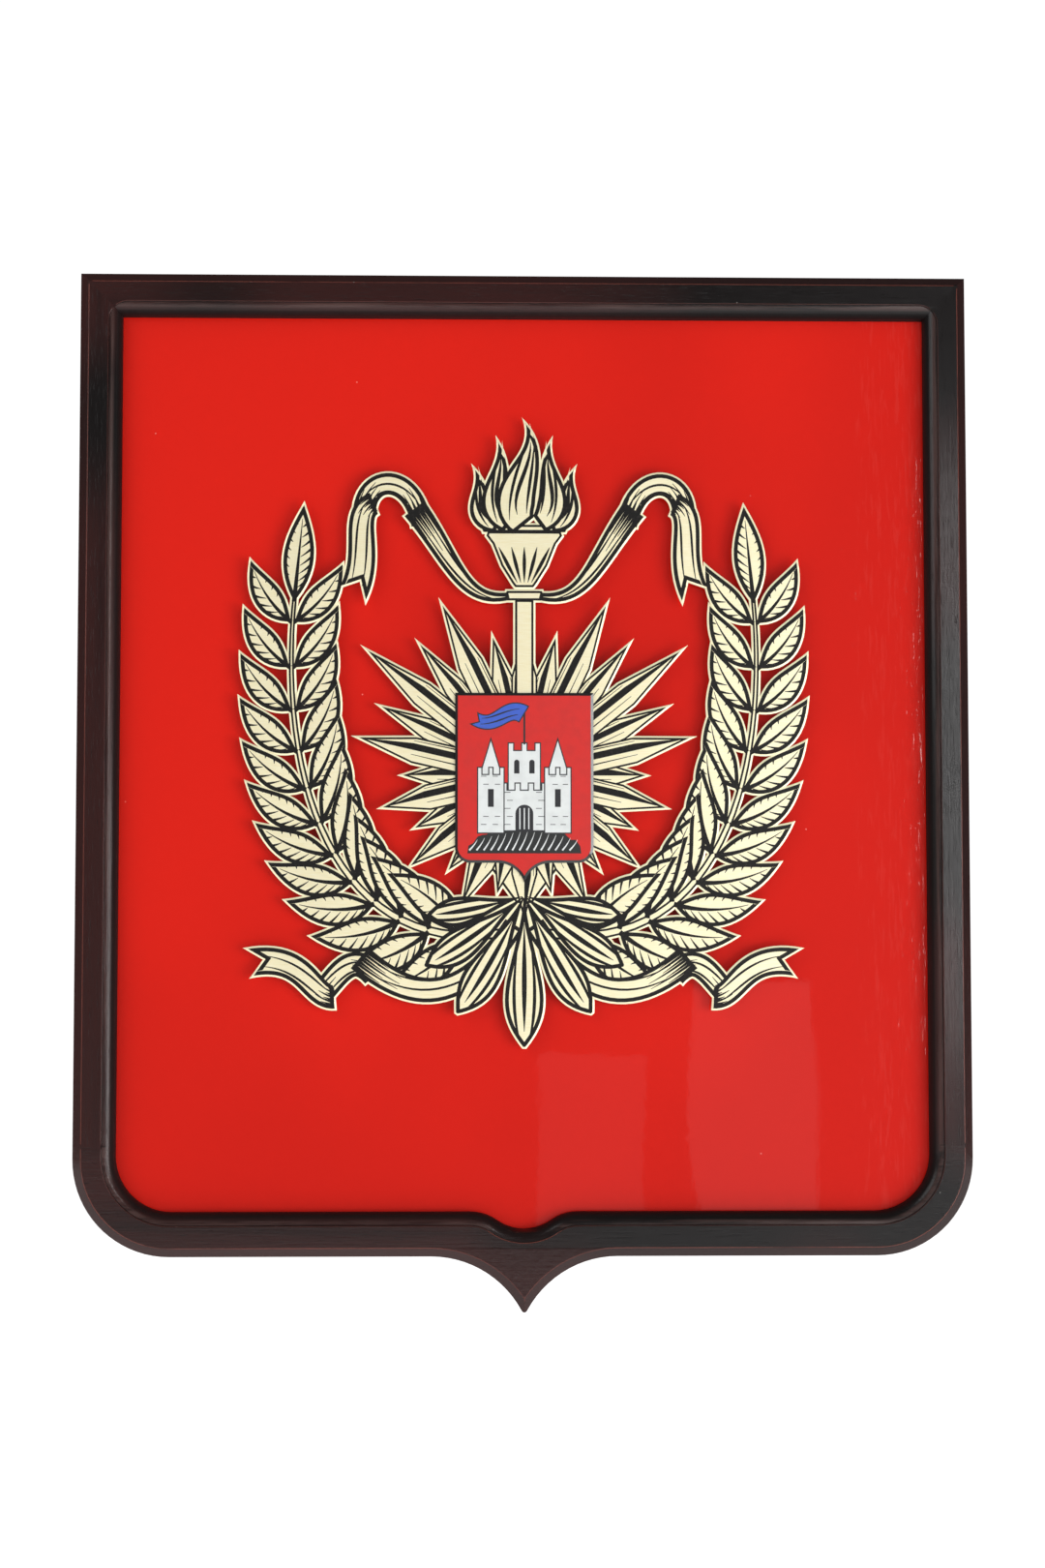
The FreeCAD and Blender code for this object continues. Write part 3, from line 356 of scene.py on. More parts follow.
def hardboard():
    material, tree, shader = new_finish("backing_hardboard", IOR=1.42)
    place = add(tree, "TexCoord", out=3)
    chips = cloud(tree, place, 520, 6, 0.72)
    blotch = cloud(tree, place, 22, 4, 0.55)
    colour = laid_over(tree, rise(tree, chips, 0.36, 0.66), HARDBOARD_DARK, HARDBOARD)
    colour = laid_over(tree, times(tree, rise(tree, blotch, 0.45, 0.72), 0.16), colour, HARDBOARD_PALE)
    screen = times(tree, weave_line(tree, place, "X", SCREEN_PITCH),
                    weave_line(tree, place, "Z", SCREEN_PITCH))
    colour = laid_over(tree, times(tree, screen, 0.30), colour, HARDBOARD_PALE)
    rough = plus(tree, times(tree, chips, 0.25), 0.60)
    normal = relief(tree, screen, 0.16 * mm)
    normal = relief(tree, chips, 0.05 * mm, under=normal)
    wire_up(tree, shader, Base_Color=colour, Roughness=rough, Normal=normal)
    return material


def greyboard():
    material, tree, shader = new_finish("liner_greyboard", IOR=1.4)
    place = add(tree, "TexCoord", out=3)
    flecks = cloud(tree, place, 1300, 4, 0.7)
    colour = laid_over(tree, rise(tree, flecks, 0.55, 0.70), GREYBOARD, GREYBOARD_FLECK)
    rough = plus(tree, times(tree, flecks, 0.15), 0.75)
    wire_up(tree, shader, Base_Color=colour, Roughness=rough, Normal=relief(tree, flecks, 0.03 * mm))
    return material


wear(hardboard(), "backing_board")
wear(greyboard(), "liner_board")


# ================================================================ the red panel
#
# A flat panel sprayed signal red and flooded with clear gloss, laid in the rebate from behind. The gloss
# is not quite flat, and shows faint brush marks near its right edge and a few hairs and grains of dust.
# The red is painted darker towards the right as shade, and the brush marks carry painted sheen.

RED = (0.690, 0.0090, 0.0020, 1)
# the deeper red serves random tone and painted shade to the right; the pale red serves lint and the painted
# sheen of the brush marks
RED_DEEP_AND_SHADED = (0.590, 0.0065, 0.0012, 1)
RED_LINT_AND_SHEEN = (0.820, 0.230, 0.190, 1)
BRUSHED_FROM, BRUSHED_TO = 118 * mm, 160 * mm


def red_gloss():
    material, tree, shader = new_finish("red_gloss", Roughness=0.5, Specular_IOR_Level=0.1, Coat_Weight=1.0,
                                        Coat_Roughness=0.02, Coat_IOR=1.5)
    place = add(tree, "TexCoord", out=3)
    spots = tree.nodes.new("ShaderNodeSeparateXYZ")
    tree.links.new(place, spots.inputs[0])
    # the red deepens at random, and is painted darker towards the right edge as shade
    depth = less(tree, cloud(tree, place, 5.5, 2, 0.4), times(tree, spots.outputs[0], 0.8))
    colour = laid_over(tree, rise(tree, depth, 0.38, 0.66), RED_DEEP_AND_SHADED, RED)
    grains = tree.nodes.new("ShaderNodeTexVoronoi")
    grains.inputs["Scale"].default_value = 330
    tree.links.new(place, grains.inputs["Vector"])
    chosen = rise(tree, grains.outputs["Color"], 0.976, 0.979)
    speck = times(tree, chosen, rise(tree, grains.outputs["Distance"], 0.15, 0.08))
    colour = laid_over(tree, times(tree, speck, 0.8), colour, RED_LINT_AND_SHEEN)
    brushed = rise(tree, spots.outputs[0], BRUSHED_FROM, BRUSHED_TO)
    strokes = cloud(tree, stretched(tree, place, x=1.0, z=0.12), 620, 3, 0.6, 0.4)
    strokes = times(tree, strokes, brushed)
    # pale streaks along the brush marks: a painted sheen
    streak_sheen = times(tree, rise(tree, strokes, 0.50, 0.66), 0.035)
    colour = laid_over(tree, streak_sheen, colour, RED_LINT_AND_SHEEN)
    sag = cloud(tree, place, 8.5, 1, 0.3)
    orange_peel = cloud(tree, place, 260, 2, 0.4)
    settled = less(tree, 1.0, brushed)
    normal = relief(tree, times(tree, sag, settled), 0.9 * mm)
    normal = relief(tree, orange_peel, 0.004 * mm, under=normal)
    normal = relief(tree, strokes, 0.012 * mm, under=normal)
    normal = relief(tree, speck, 0.05 * mm, under=normal)
    wire_up(tree, shader, Base_Color=colour, Coat_Normal=normal)
    return material


wear(red_gloss(), "red_panel")


# ================================================================ turn buttons
#
# Eight brass-plated steel strips with round ends, pressed out with a soft edge. Each turns on a screw in
# the frame's back and bears on the hardboard.

BUTTON_EDGE = 0.28 * mm
BUTTON_HOLE = 1.58 * mm
BUTTON_STEPS = 64
BRASS = (0.690, 0.500, 0.215, 1)
BRASS_DULL = (0.400, 0.265, 0.105, 1)
BRASS_MARK = (0.820, 0.690, 0.420, 1)


def ringed_mesh(name, rings, closed=False):
    """A mesh skinned over rings of equally many points: capped at both ends, or closed on itself."""
    count = len(rings[0])
    faces = []
    for level in range(len(rings) if closed else len(rings) - 1):
        low, high = level * count, (level + 1) % len(rings) * count
        for step in range(count):
            after = (step + 1) % count
            faces.append((low + step, low + after, high + after, high + step))
    if not closed:
        faces.append(tuple(reversed(range(count))))
        faces.append(tuple(range((len(rings) - 1) * count, len(rings) * count)))
    mesh = bpy.data.meshes.new(name)
    mesh.from_pydata([tuple(point) for ring in rings for point in ring], [], faces)
    mesh.update()
    return mesh


def shown(name, mesh, material, body, *replaced, smooth_below=35):
    """Put a mesh in the scene, smooth where its faces meet at less than that angle, riding on that body."""
    piece = bpy.data.objects.new(name, mesh)
    bpy.context.scene.collection.objects.link(piece)
    if material:
        mesh.materials.append(material)
    mesh.shade_smooth()
    mesh.set_sharp_from_angle(angle=math.radians(smooth_below))
    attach(piece, body)
    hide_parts(*replaced)
    return piece


def plated_brass():
    material, tree, shader = new_finish("button_brass", Metallic=1.0)
    place = add(tree, "TexCoord", out=3)
    tarnish = cloud(tree, place, 260, 5, 0.6)
    rub = cloud(tree, stretched(tree, place, x=0.10), 2600, 2, 0.5)
    colour = laid_over(tree, rise(tree, tarnish, 0.42, 0.72), BRASS, BRASS_DULL)
    colour = laid_over(tree, times(tree, rise(tree, rub, 0.60, 0.68), 0.4), colour, BRASS_MARK)
    rough = plus(tree, times(tree, tarnish, 0.35), 0.16)
    wire_up(tree, shader, Base_Color=colour, Roughness=rough, Normal=relief(tree, rub, 0.008 * mm))
    return material


def turn_button(name, pivot, low, high):
    """A strip from its pivot to the far end of its box, with a hole for the screw."""
    middle = (low + high) / 2
    along = Vector((middle.x - pivot.x, 0, middle.z - pivot.z)).normalized()
    across = Vector((-along.z, 0, along.x))
    length = max(high.x - low.x, high.z - low.z)
    half = min(high.x - low.x, high.z - low.z) / 2
    run = length - 2 * half

    def outline(inset):
        points = []
        for step in range(BUTTON_STEPS):
            angle = 2 * math.pi * (step + 0.5) / BUTTON_STEPS
            reach = run if math.cos(angle) > 0 else 0.0
            points.append((reach + (half - inset) * math.cos(angle), (half - inset) * math.sin(angle)))
        return points

    def bored(grow):
        reach = BUTTON_HOLE + grow
        turns = [2 * math.pi * (step + 0.5) / BUTTON_STEPS for step in range(BUTTON_STEPS)]
        return [(reach * math.cos(turn), reach * math.sin(turn)) for turn in turns]

    rings = []
    soft = BUTTON_EDGE
    turn = soft * 0.3
    for shape, y in ((bored(soft), low.y), (outline(soft), low.y), (outline(turn), low.y + turn),
                     (outline(0), low.y + soft), (outline(0), high.y - soft),
                     (outline(turn), high.y - turn), (outline(soft), high.y),
                     (bored(soft), high.y), (bored(0), high.y - soft), (bored(0), low.y + soft)):
        rings.append([(pivot.x + along.x * u + across.x * v, y, pivot.z + along.z * u + across.z * v)
                      for u, v in shape])
    return ringed_mesh(name, rings, closed=True)


brass = plated_brass()
pivots = {}
for joint in frame["joints"]:
    if joint["child"].startswith("turn_button"):
        pivots[joint["child"]] = Vector(joint["pos_m"])
for node_name, pivot in pivots.items():
    strip_mesh = turn_button(node_name + "_strip", pivot, *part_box(node_name))
    button = shown(node_name + "_strip", strip_mesh, brass, node_name, node_name, smooth_below=50)


# ================================================================ screws
#
# Zinc-plated pan-head screws with a cross recess: eight carry the turn buttons, two hold the hanger
# straps. Their threads are in the wood.

HEAD_RADIUS = 3.0 * mm
SHANK_RADIUS = 1.5 * mm
SCREW_STEPS = 48
RECESS_LENGTH, RECESS_WIDTH, RECESS_DEPTH = 3.3 * mm, 0.75 * mm, 0.95 * mm
ZINC = (0.560, 0.565, 0.575, 1)
ZINC_YELLOW = (0.520, 0.500, 0.420, 1)
ZINC_SCRATCH = (0.760, 0.765, 0.770, 1)


def circle(centre, radius, y, steps):
    turns = [2 * math.pi * step / steps for step in range(steps)]
    return [(centre.x + radius * math.cos(turn), y, centre.z + radius * math.sin(turn)) for turn in turns]


def zinc_plate(name):
    material, tree, shader = new_finish(name, Metallic=1.0)
    place = add(tree, "TexCoord", out=3)
    spangle = cloud(tree, place, 900, 3, 0.6)
    bloom = cloud(tree, place, 150, 3, 0.5)
    colour = laid_over(tree, rise(tree, bloom, 0.40, 0.70), ZINC, ZINC_YELLOW)
    colour = laid_over(tree, times(tree, rise(tree, spangle, 0.56, 0.66), 0.5), colour, ZINC_SCRATCH)
    rough = plus(tree, times(tree, spangle, 0.30), 0.20)
    wire_up(tree, shader, Base_Color=colour, Roughness=rough, Normal=relief(tree, spangle, 0.012 * mm))
    return material


def cut_away(mesh, tool):
    """The mesh less the tool, both as meshes."""
    block = bpy.data.objects.new("block", mesh)
    knife = bpy.data.objects.new("knife", tool)
    for piece in (block, knife):
        bpy.context.scene.collection.objects.link(piece)
    cut = block.modifiers.new("cut", "BOOLEAN")
    cut.object = knife
    cut.solver = "EXACT"
    result = bpy.data.meshes.new_from_object(block.evaluated_get(bpy.context.evaluated_depsgraph_get()))
    for piece in (block, knife):
        bpy.data.objects.remove(piece)
    return result


def screw_mesh(name, centre, crown, seat, tip):
    """A pan head from its crown to its seat, then a plain shank to its tip; all four are along +Y to -Y."""
    height = crown - seat
    rings = [circle(centre, SHANK_RADIUS * 0.25, tip, SCREW_STEPS),
             circle(centre, SHANK_RADIUS, tip + 2 * mm, SCREW_STEPS),
             circle(centre, SHANK_RADIUS, seat, SCREW_STEPS),
             circle(centre, HEAD_RADIUS, seat, SCREW_STEPS)]
    for share in range(9):
        turn = math.radians(11 * share)
        dome = HEAD_RADIUS * (1 - 0.42 * (1 - math.cos(turn)) / (1 - math.cos(math.radians(88))))
        rings.append(circle(centre, dome, seat + height * (0.25 + 0.75 * math.sin(turn)), SCREW_STEPS))
    head = ringed_mesh(name, rings)
    for arm in range(2):
        turn = math.radians(18 + 90 * arm)
        out = Vector((math.cos(turn), 0, math.sin(turn)))
        side = Vector((-out.z, 0, out.x))
        cutter = []
        for y, share in ((crown - RECESS_DEPTH, 0.45), (crown + 0.2 * mm, 1.0)):
            a, b = out * (RECESS_LENGTH / 2 * share), side * (RECESS_WIDTH / 2 * (0.6 + 0.4 * share))
            corners = (a + b, b - a, -a - b, a - b)
            cutter.append([(centre.x + c.x, y, centre.z + c.z) for c in corners])
        head = cut_away(head, ringed_mesh("recess", cutter))
    return head


def joined(name, meshes):
    """Several meshes as one."""
    corners, faces = [], []
    for mesh in meshes:
        base = len(corners)
        corners += [tuple(vertex.co) for vertex in mesh.vertices]
        faces += [tuple(base + index for index in polygon.vertices) for polygon in mesh.polygons]
    whole = bpy.data.meshes.new(name)
    whole.from_pydata(corners, [], faces)
    whole.update()
    return whole


screw_zinc = zinc_plate("screw_zinc")
tip_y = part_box("turn_button_screws")[0].y
crown_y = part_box("turn_button_screws")[1].y
seat_y = crown_y - 1.4 * mm
button_screws = [screw_mesh("screw", pivot, crown_y, seat_y, tip_y) for pivot in pivots.values()]
screws = shown("turn_button_screws_pan", joined("pan_screws", button_screws), screw_zinc, "plaque",
               "turn_button_screws", smooth_below=40)

hang_pivots = [Vector(joint["pos_m"]) for joint in frame["joints"] if "hanging_ring" in joint["child"]]
hang_drop = 18 * mm
tip_y, crown_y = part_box("hanger_screws")[0].y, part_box("hanger_screws")[1].y
seat_y = crown_y - 1.4 * mm
strap_screws = [screw_mesh("screw", pivot - Vector((0, 0, hang_drop)), crown_y, seat_y, tip_y)
                for pivot in hang_pivots]
screws = shown("hanger_screws_pan", joined("strap_screws", strap_screws), screw_zinc, "plaque",
               "hanger_screws", smooth_below=40)


# ================================================================ hangers
#
# A strap of zinc-plated steel on each stile, its upper end rolled round the straight bar of a D-shaped
# wire ring, which swings up to take the hook.

hanger_zinc = zinc_plate("hanger_zinc")
for side in ("left", "right"):
    wear(hanger_zinc, side + "_hanger_strap")
    wear(hanger_zinc, side + "_hanging_ring")


# ================================================================ wall bumpers
#
# Three self-adhesive black rubber pads that keep the plaque off the wall: a larger one at the foot's
# point and one behind each top corner. Each is a low dome with a moulded edge.

BUMPER_STEPS = 64
RUBBER = (0.022, 0.022, 0.023, 1)
RUBBER_DUSTY = (0.085, 0.082, 0.078, 1)


def black_rubber():
    material, tree, shader = new_finish("bumper_rubber", IOR=1.5)
    place = add(tree, "TexCoord", out=3)
    dusting = cloud(tree, place, 340, 5, 0.65)
    colour = laid_over(tree, rise(tree, dusting, 0.50, 0.75), RUBBER, RUBBER_DUSTY)
    rough = plus(tree, times(tree, dusting, 0.3), 0.45)
    wire_up(tree, shader, Base_Color=colour, Roughness=rough, Normal=relief(tree, dusting, 0.02 * mm))
    return material


def bumper(centre, radius, seat, face):
    """A pad from its glued seat to its face on the wall, with a small foot flange and a rolled edge."""
    height = face - seat
    rings = [circle(centre, radius, seat, BUMPER_STEPS),
             circle(centre, radius, seat + 0.6 * mm, BUMPER_STEPS),
             circle(centre, radius - 0.25 * mm, seat + 0.8 * mm, BUMPER_STEPS)]
    for step in range(7):
        turn = math.radians(15 * step)
        roll = 1.1 * mm
        rings.append(circle(centre, radius - 0.35 * mm - roll * (1 - math.cos(turn)),
                            seat + height - roll + roll * math.sin(turn), BUMPER_STEPS))
    return ringed_mesh("pad", rings)


bumper_low, bumper_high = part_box("wall_bumpers")
foot_radius, top_radius = 6 * mm, 5 * mm
pads = [bumper(Vector((0, 0, bumper_low.z + foot_radius)), foot_radius, bumper_low.y, bumper_high.y)]
for side in (-1, 1):
    spot = Vector((side * (bumper_high.x - top_radius), 0, bumper_high.z - top_radius))
    pads.append(bumper(spot, top_radius, bumper_low.y, bumper_high.y))
bumpers = shown("wall_bumper_pads", joined("pads", pads), black_rubber(), "plaque", "wall_bumpers",
                smooth_below=40)


# ================================================================ the emblem plate
#
# A torch between laurel branches, with rays, ribbons and a palmette, all pierced out of one sheet of
# gold-coloured metal. Its lines are etched and filled with black enamel, its sawn edge is filed to a
# bright chamfer, and it stands off the panel on posts.

EMBLEM_FOOT = 142 * mm
RIM_WIDTH = 0.85
LINE_WIDTH = 1.75
FINEST = 0.22
ETCH_DEPTH = 0.12 * mm
RIM_DROP = 0.22 * mm
LEVELS = {"gold": 0.0, "black": ETCH_DEPTH}
BRANCH = ((7, -90), (80, -104), (112, -30), (103, 62))
BRANCH_PAIRS = 12
LEAF_SPLAY = 36
LEAF_WIDTH = 17
LEAF_LENGTHS = {-1: 43, 1: 44}
SUN = np.array((0.0, -20.0))
RAYS = 28
UPPER_RIBBON = (
    (((46, 92), (50, 118), (72, 116), (72, 98)), 11, 12, False, 0.30, 0.34),
    (((6, 61), (28, 56), (32, 78), (50, 101)), 5, 13, False, 0.0, 0.30),
    (((67, 103), (80, 98), (67, 80), (78, 60)), 12, 15, True, 0.24, 0.0),
)
LOWER_RIBBON = (
    (((66, -110), (78, -96), (84, -112), (92, -119)), 13, 12, False, 0.35, 0.35),
    (((4, -86), (28, -124), (50, -122), (74, -101)), 11, 14, False, 0.0, 0.26),
    (((84, -119), (96, -120), (96, -98), (124, -104)), 12, 14, True, 0.26, 0.0),
)
PALMETTE_ROOT = np.array((0.0, -74.0))
PALMETTE = ((74, 46, 15), (50, 56, 17), (25, 62, 18), (0, 68, 19))
FLAMES = (
    (((11, 93), (26, 98), (15, 108), (24, 121)), 13),
    (((6, 93), (21, 104), (5, 116), (13, 134)), 15),
)
MIDDLE_FLAME = (((0, 92), (-13, 108), (12, 122), (-1, 142)), 19)
HANDLE = ((5, 60), (5, 14))
KNOP = ((8.5, 64), (9.5, 61), (8.5, 58))
BOWL = ((17, 91), (18, 88), (15, 84), (11, 74), (6, 66), (4.5, 64))
BOWL_LIP = ((19, 94), (20, 91.5), (19, 89))
SHIELD_SEAT = ((26, 10), (26, -48), (4, -78))

GOLD = (0.930, 0.835, 0.520, 1)
GOLD_PALE = (0.985, 0.925, 0.670, 1)
BRIGHT_EDGE = (0.990, 0.955, 0.820, 1)
ENAMEL_BLACK = (0.0060, 0.0055, 0.0050, 1)
ENAMEL_WIPED = (0.024, 0.021, 0.019, 1)


def along_curve(points, t):
    """Point and unit tangent of a Bezier curve through any number of control points."""
    p = np.array(points, float)
    while len(p) > 2:
        p = p[:-1] * (1 - t) + p[1:] * t
    step = p[1] - p[0]
    return p[0] * (1 - t) + p[1] * t, step / (np.hypot(*step) or 1.0)


def left_of(v):
    return np.array((-v[1], v[0]))


def turned(v, degrees):
    a = math.radians(degrees)
    return np.array((v[0] * math.cos(a) - v[1] * math.sin(a), v[0] * math.sin(a) + v[1] * math.cos(a)))


def mirrored(points, side):
    return [(side * x, z) for x, z in points]


def strip(points, half, start=0.0, end=1.0, count=18, notch=0.0):
    """Outline along a curve, half wide at u from 0 to 1; notch cuts a swallow tail in its far end."""
    left, right = [], []
    for step in range(count + 1):
        u = step / count
        point, along = along_curve(points, start + (end - start) * u)
        offset = left_of(along) * half(u)
        left.append(point + offset)
        right.append(point - offset)
    if notch:
        right.append(point - along * notch)
    return np.array(right + left[::-1])


def anticlockwise(outline):
    """The outline anticlockwise, without repeated points."""
    p = np.array(outline, float)
    p = p[np.hypot(*(p - np.roll(p, 1, axis=0)).T) > 1e-4]
    q = np.roll(p, -1, axis=0)
    turn = np.sum(p[:, 0] * q[:, 1] - q[:, 0] * p[:, 1])
    return p if turn > 0 else p[::-1]


def drawn_in(p, distance, sharpest=0.16):
    """The outline moved inwards, with mitred corners; the sharpest are cut short."""
    before, after = p - np.roll(p, 1, axis=0), np.roll(p, -1, axis=0) - p
    before /= np.hypot(*before.T)[:, None]
    after /= np.hypot(*after.T)[:, None]
    n = np.stack([-before[:, 1] - after[:, 1], before[:, 0] + after[:, 0]], axis=1)
    size = np.hypot(*n.T)
    n /= np.maximum(size, 1e-9)[:, None]
    return p + n * (distance / np.maximum(size / 2, sharpest))[:, None]


class Artwork:
    """Outlines in the order they are painted: the rims first, then each shape over those before it."""

    def __init__(self):
        self.rims = []
        self.marks = []

    def shape(self, outline, line=LINE_WIDTH):
        """A gold shape with a black line inside its bright rim."""
        outline = anticlockwise(outline)
        self.rims.append((outline, "gold"))
        self.marks.append((drawn_in(outline, RIM_WIDTH), "black"))
        self.marks.append((drawn_in(outline, RIM_WIDTH + line), "gold"))

    def mark(self, outline, colour="black"):
        self.marks.append((anticlockwise(outline), colour))

    def stroke(self, points, width, start=0.0, end=1.0, count=10, swell=1.0):
        """A line that swells in its middle."""
        def half(u):
            return FINEST / 2 + width / 2 * math.sin(math.pi * u) ** swell
        self.mark(strip(points, half, start, end, count))

    def taper(self, points, width, start=0.0, end=1.0, count=8):
        """A line that runs out to nothing."""
        self.mark(strip(points, lambda u: FINEST / 2 + width / 2 * (1 - u), start, end, count))


def beside(points, places, offset):
    """Points beside a curve, offset(u) to its left."""
    found = []
    for u in places:
        point, along = along_curve(points, u)
        found.append(point + left_of(along) * offset(u))
    return found


def laurel_leaf(art, spine, width, shaded):
    """A leaf with a midrib and hatching, longer on its shaded side."""
    def half(u):
        return width / 2 * math.sin(math.pi * u**0.85)
    art.shape(strip(spine, half))
    art.taper(spine, width * 0.13, 0.02, 0.82)
    count = max(4, int(np.hypot(*(np.array(spine[2]) - spine[0])) / 5.6))
    for number in range(count):
        u = 0.22 + 0.56 * number / (count - 1)
        depth = half(u) - RIM_WIDTH - LINE_WIDTH * 0.6
        root, along = along_curve(spine, u)
        for side, reach, weight in ((shaded, 0.86, 1.05), (-shaded, 0.34, 0.8)):
            edge = root + left_of(along) * side * depth
            inner = root + left_of(along) * side * depth * (1 - reach) - along * depth * reach * 0.9
            art.taper((edge, (edge + inner) / 2 - along * 0.4, inner), weight, count=4)


def laurel_branch(art, side):
    """The stem, then its leaves from the tip down, so that each lies over the next one up."""
    art.shape(strip(mirrored(BRANCH, side), lambda u: 3.1 - 1.2 * u, -0.02, 1.0, 30), line=0.9)
    end, along = along_curve(BRANCH, 1.0)
    leaves = [((end - along * 5, end + along * 19, end + along * 42), LEAF_WIDTH * 0.9, 1)]
    for pair in reversed(range(BRANCH_PAIRS)):
        t = 0.10 + 0.85 * pair / (BRANCH_PAIRS - 1)
        root, along = along_curve(BRANCH, t)
        taper = 1.06 - 0.24 * t
        for flank, length in LEAF_LENGTHS.items():
            reach = turned(along, flank * LEAF_SPLAY) * length * taper
            bow = turned(along, flank * LEAF_SPLAY * 1.55) * length * taper * 0.5
            leaves.append(((root, root + bow, root + reach), LEAF_WIDTH * taper, flank))
    for spine, width, shaded in leaves:
        laurel_leaf(art, [np.array(point) for point in mirrored(spine, side)], width, shaded * side)


def sun_ray(art, number):
    """A pointed ray with a ridge down its middle and one flank in shade."""
    angle = math.pi / 2 + 2 * math.pi * number / RAYS
    lift = abs(math.sin(2 * angle)) if math.sin(angle) > 0 else 0.0
    reach = (68 + 27 * lift) * (0.84 if number % 2 else 1.0)
    width = 12.0 if number % 2 else 13.5
    out = np.array((math.cos(angle), math.sin(angle)))
    heel, tip = SUN + out * 16, SUN + out * reach
    flanks = strip((heel, (heel + tip) / 2, tip), lambda u: width / 2 * min(1.0, (1 - u) * 2.2), count=11)
    art.shape(flanks, line=0.85)
    side = left_of(out) * (width / 2 - RIM_WIDTH - 0.4) * math.copysign(1, out[0] + 1e-9)
    shoulder = tip - (tip - heel) * 0.44
    art.mark((heel, heel + side * 0.55, shoulder + side * 0.55, tip - out * 4, shoulder, heel))
    for offset in (-0.42, 0.84):
        foot = heel + side * offset
        art.taper((foot, foot + out * 10, shoulder + side * offset * 0.9), 0.9, count=3)


def ribbon_face(art, points, first, last, tailed, dark_start, dark_end):
    """One face of a ribbon from fold to fold, hatched where it turns under."""
    def half(u):
        return (first + (last - first) * u) / 2
    art.shape(strip(points, half, count=24, notch=last * 0.55 if tailed else 0.0))
    for from_end, run in enumerate((dark_start, dark_end)):
        for line in range(7 if run else 0):
            across = -0.76 + 1.52 * line / 6
            reach = run * (1.0 if line % 2 else 0.62)
            places = [1 - u if from_end else u for u in (0.02, reach / 2, reach)]
            fold = beside(points, places, lambda u: (half(u) - RIM_WIDTH - LINE_WIDTH / 2) * across)
            art.taper(fold, 1.15, count=6)
    for across in (-0.35, 0.35):
        art.stroke(beside(points, np.linspace(0.1, 0.9, 7), lambda u: half(u) * across), 0.8, count=16)


def palmette_lobe(art, spread, length, width, side):
    """A lobe that is rounded at its end, with two inner lines and a vein."""
    def half(u):
        return width / 2 * math.sin(math.pi * (0.04 + 0.93 * u**1.5))
    out = turned((0.0, -1.0), spread * side)
    curl = turned(out, 26 * side if spread else 0)
    tip = PALMETTE_ROOT + out * length * 0.80 + curl * length * 0.2
    spine = (PALMETTE_ROOT, PALMETTE_ROOT + out * length * 0.62, tip)
    art.shape(strip(spine, half, count=24))
    for flank in (-0.6, 0.6):
        art.stroke(beside(spine, (0.25, 0.45, 0.65, 0.85, 0.95), lambda u: flank * half(u)), 1.3)
    art.stroke(spine, 2.0, 0.15, 0.86)


def flame_tongue(art, points, width):
    def half(u):
        return width / 2 * math.sin(math.pi * (0.10 + 0.90 * u) ** 0.62)
    art.shape(strip(points, half, count=22))
    art.stroke(points, 1.6, 0.12, 0.80, swell=0.8)
    for flank in (-0.48, 0.48):
        art.stroke(beside(points, (0.10, 0.34, 0.58, 0.80), lambda u: flank * half(u)), 1.2)


def turned_part(art, rows, line=1.0):
    art.shape(mirrored(rows, 1) + mirrored(reversed(rows), -1), line=line)


def draw_emblem():
    art = Artwork()
    for side in (-1, 1):
        laurel_branch(art, side)
    turned_part(art, SHIELD_SEAT)
    for number in list(range(1, RAYS, 2)) + list(range(0, RAYS, 2)):
        sun_ray(art, number)
    for side in (-1, 1):
        for points, *rest in LOWER_RIBBON:
            ribbon_face(art, mirrored(points, side), *rest)
    for spread, length, width in PALMETTE:
        for side in (-1, 1) if spread else (1,):
            palmette_lobe(art, spread, length, width, side)
    turned_part(art, HANDLE)
    turned_part(art, KNOP)
    turned_part(art, BOWL)
    for x in (-10, -5, 0, 5, 10):
        art.stroke(((x * 1.15, 83), (x * 0.8, 76), (x * 0.32, 67)), 1.4)
    turned_part(art, BOWL_LIP)
    for points, width in FLAMES:
        for side in (-1, 1):
            flame_tongue(art, mirrored(points, side), width)
    flame_tongue(art, *MIDDLE_FLAME)
    for side in (-1, 1):
        for points, *rest in UPPER_RIBBON:
            ribbon_face(art, mirrored(points, side), *rest)
    return art.rims + art.marks


def windings(outline, spots):
    """How many times the outline runs anticlockwise round each spot."""
    a, b = outline, np.roll(outline, -1, axis=0)
    x, z = spots[:, :1], spots[:, 1:]
    left = (b[:, 0] - a[:, 0]) * (z - a[:, 1]) - (x - a[:, 0]) * (b[:, 1] - a[:, 1])
    upward = (a[:, 1] <= z) & (b[:, 1] > z) & (left > 0)
    downward = (a[:, 1] > z) & (b[:, 1] <= z) & (left < 0)
    return upward.sum(1) - downward.sum(1)


def painted_triangles(shapes):
    """Overlapping outlines cut into triangles, each with the colour of the topmost shape over it."""
    points, edges = [], []
    for outline, _ in shapes:
        base, count = len(points), len(outline)
        points += [Vector(point) for point in outline]
        edges += [(base + step, base + (step + 1) % count) for step in range(count)]
    corners, _, triangles, *_ = geometry.delaunay_2d_cdt(points, edges, [], 0, 1e-4, False)
    corners = np.array([tuple(corner) for corner in corners])
    triangles = np.array(triangles)
    middles = corners[triangles].mean(1)
    colours = np.full(len(triangles), -1)
    names = sorted({colour for _, colour in shapes})
    for outline, colour in shapes:
        low, high = outline.min(0), outline.max(0)
        near = np.flatnonzero(((middles >= low) & (middles <= high)).all(1))
        inside = near[windings(outline, middles[near]) > 0]
        colours[inside] = names.index(colour)
    kept = colours >= 0
    return corners, triangles[kept], [names[number] for number in colours[kept]]


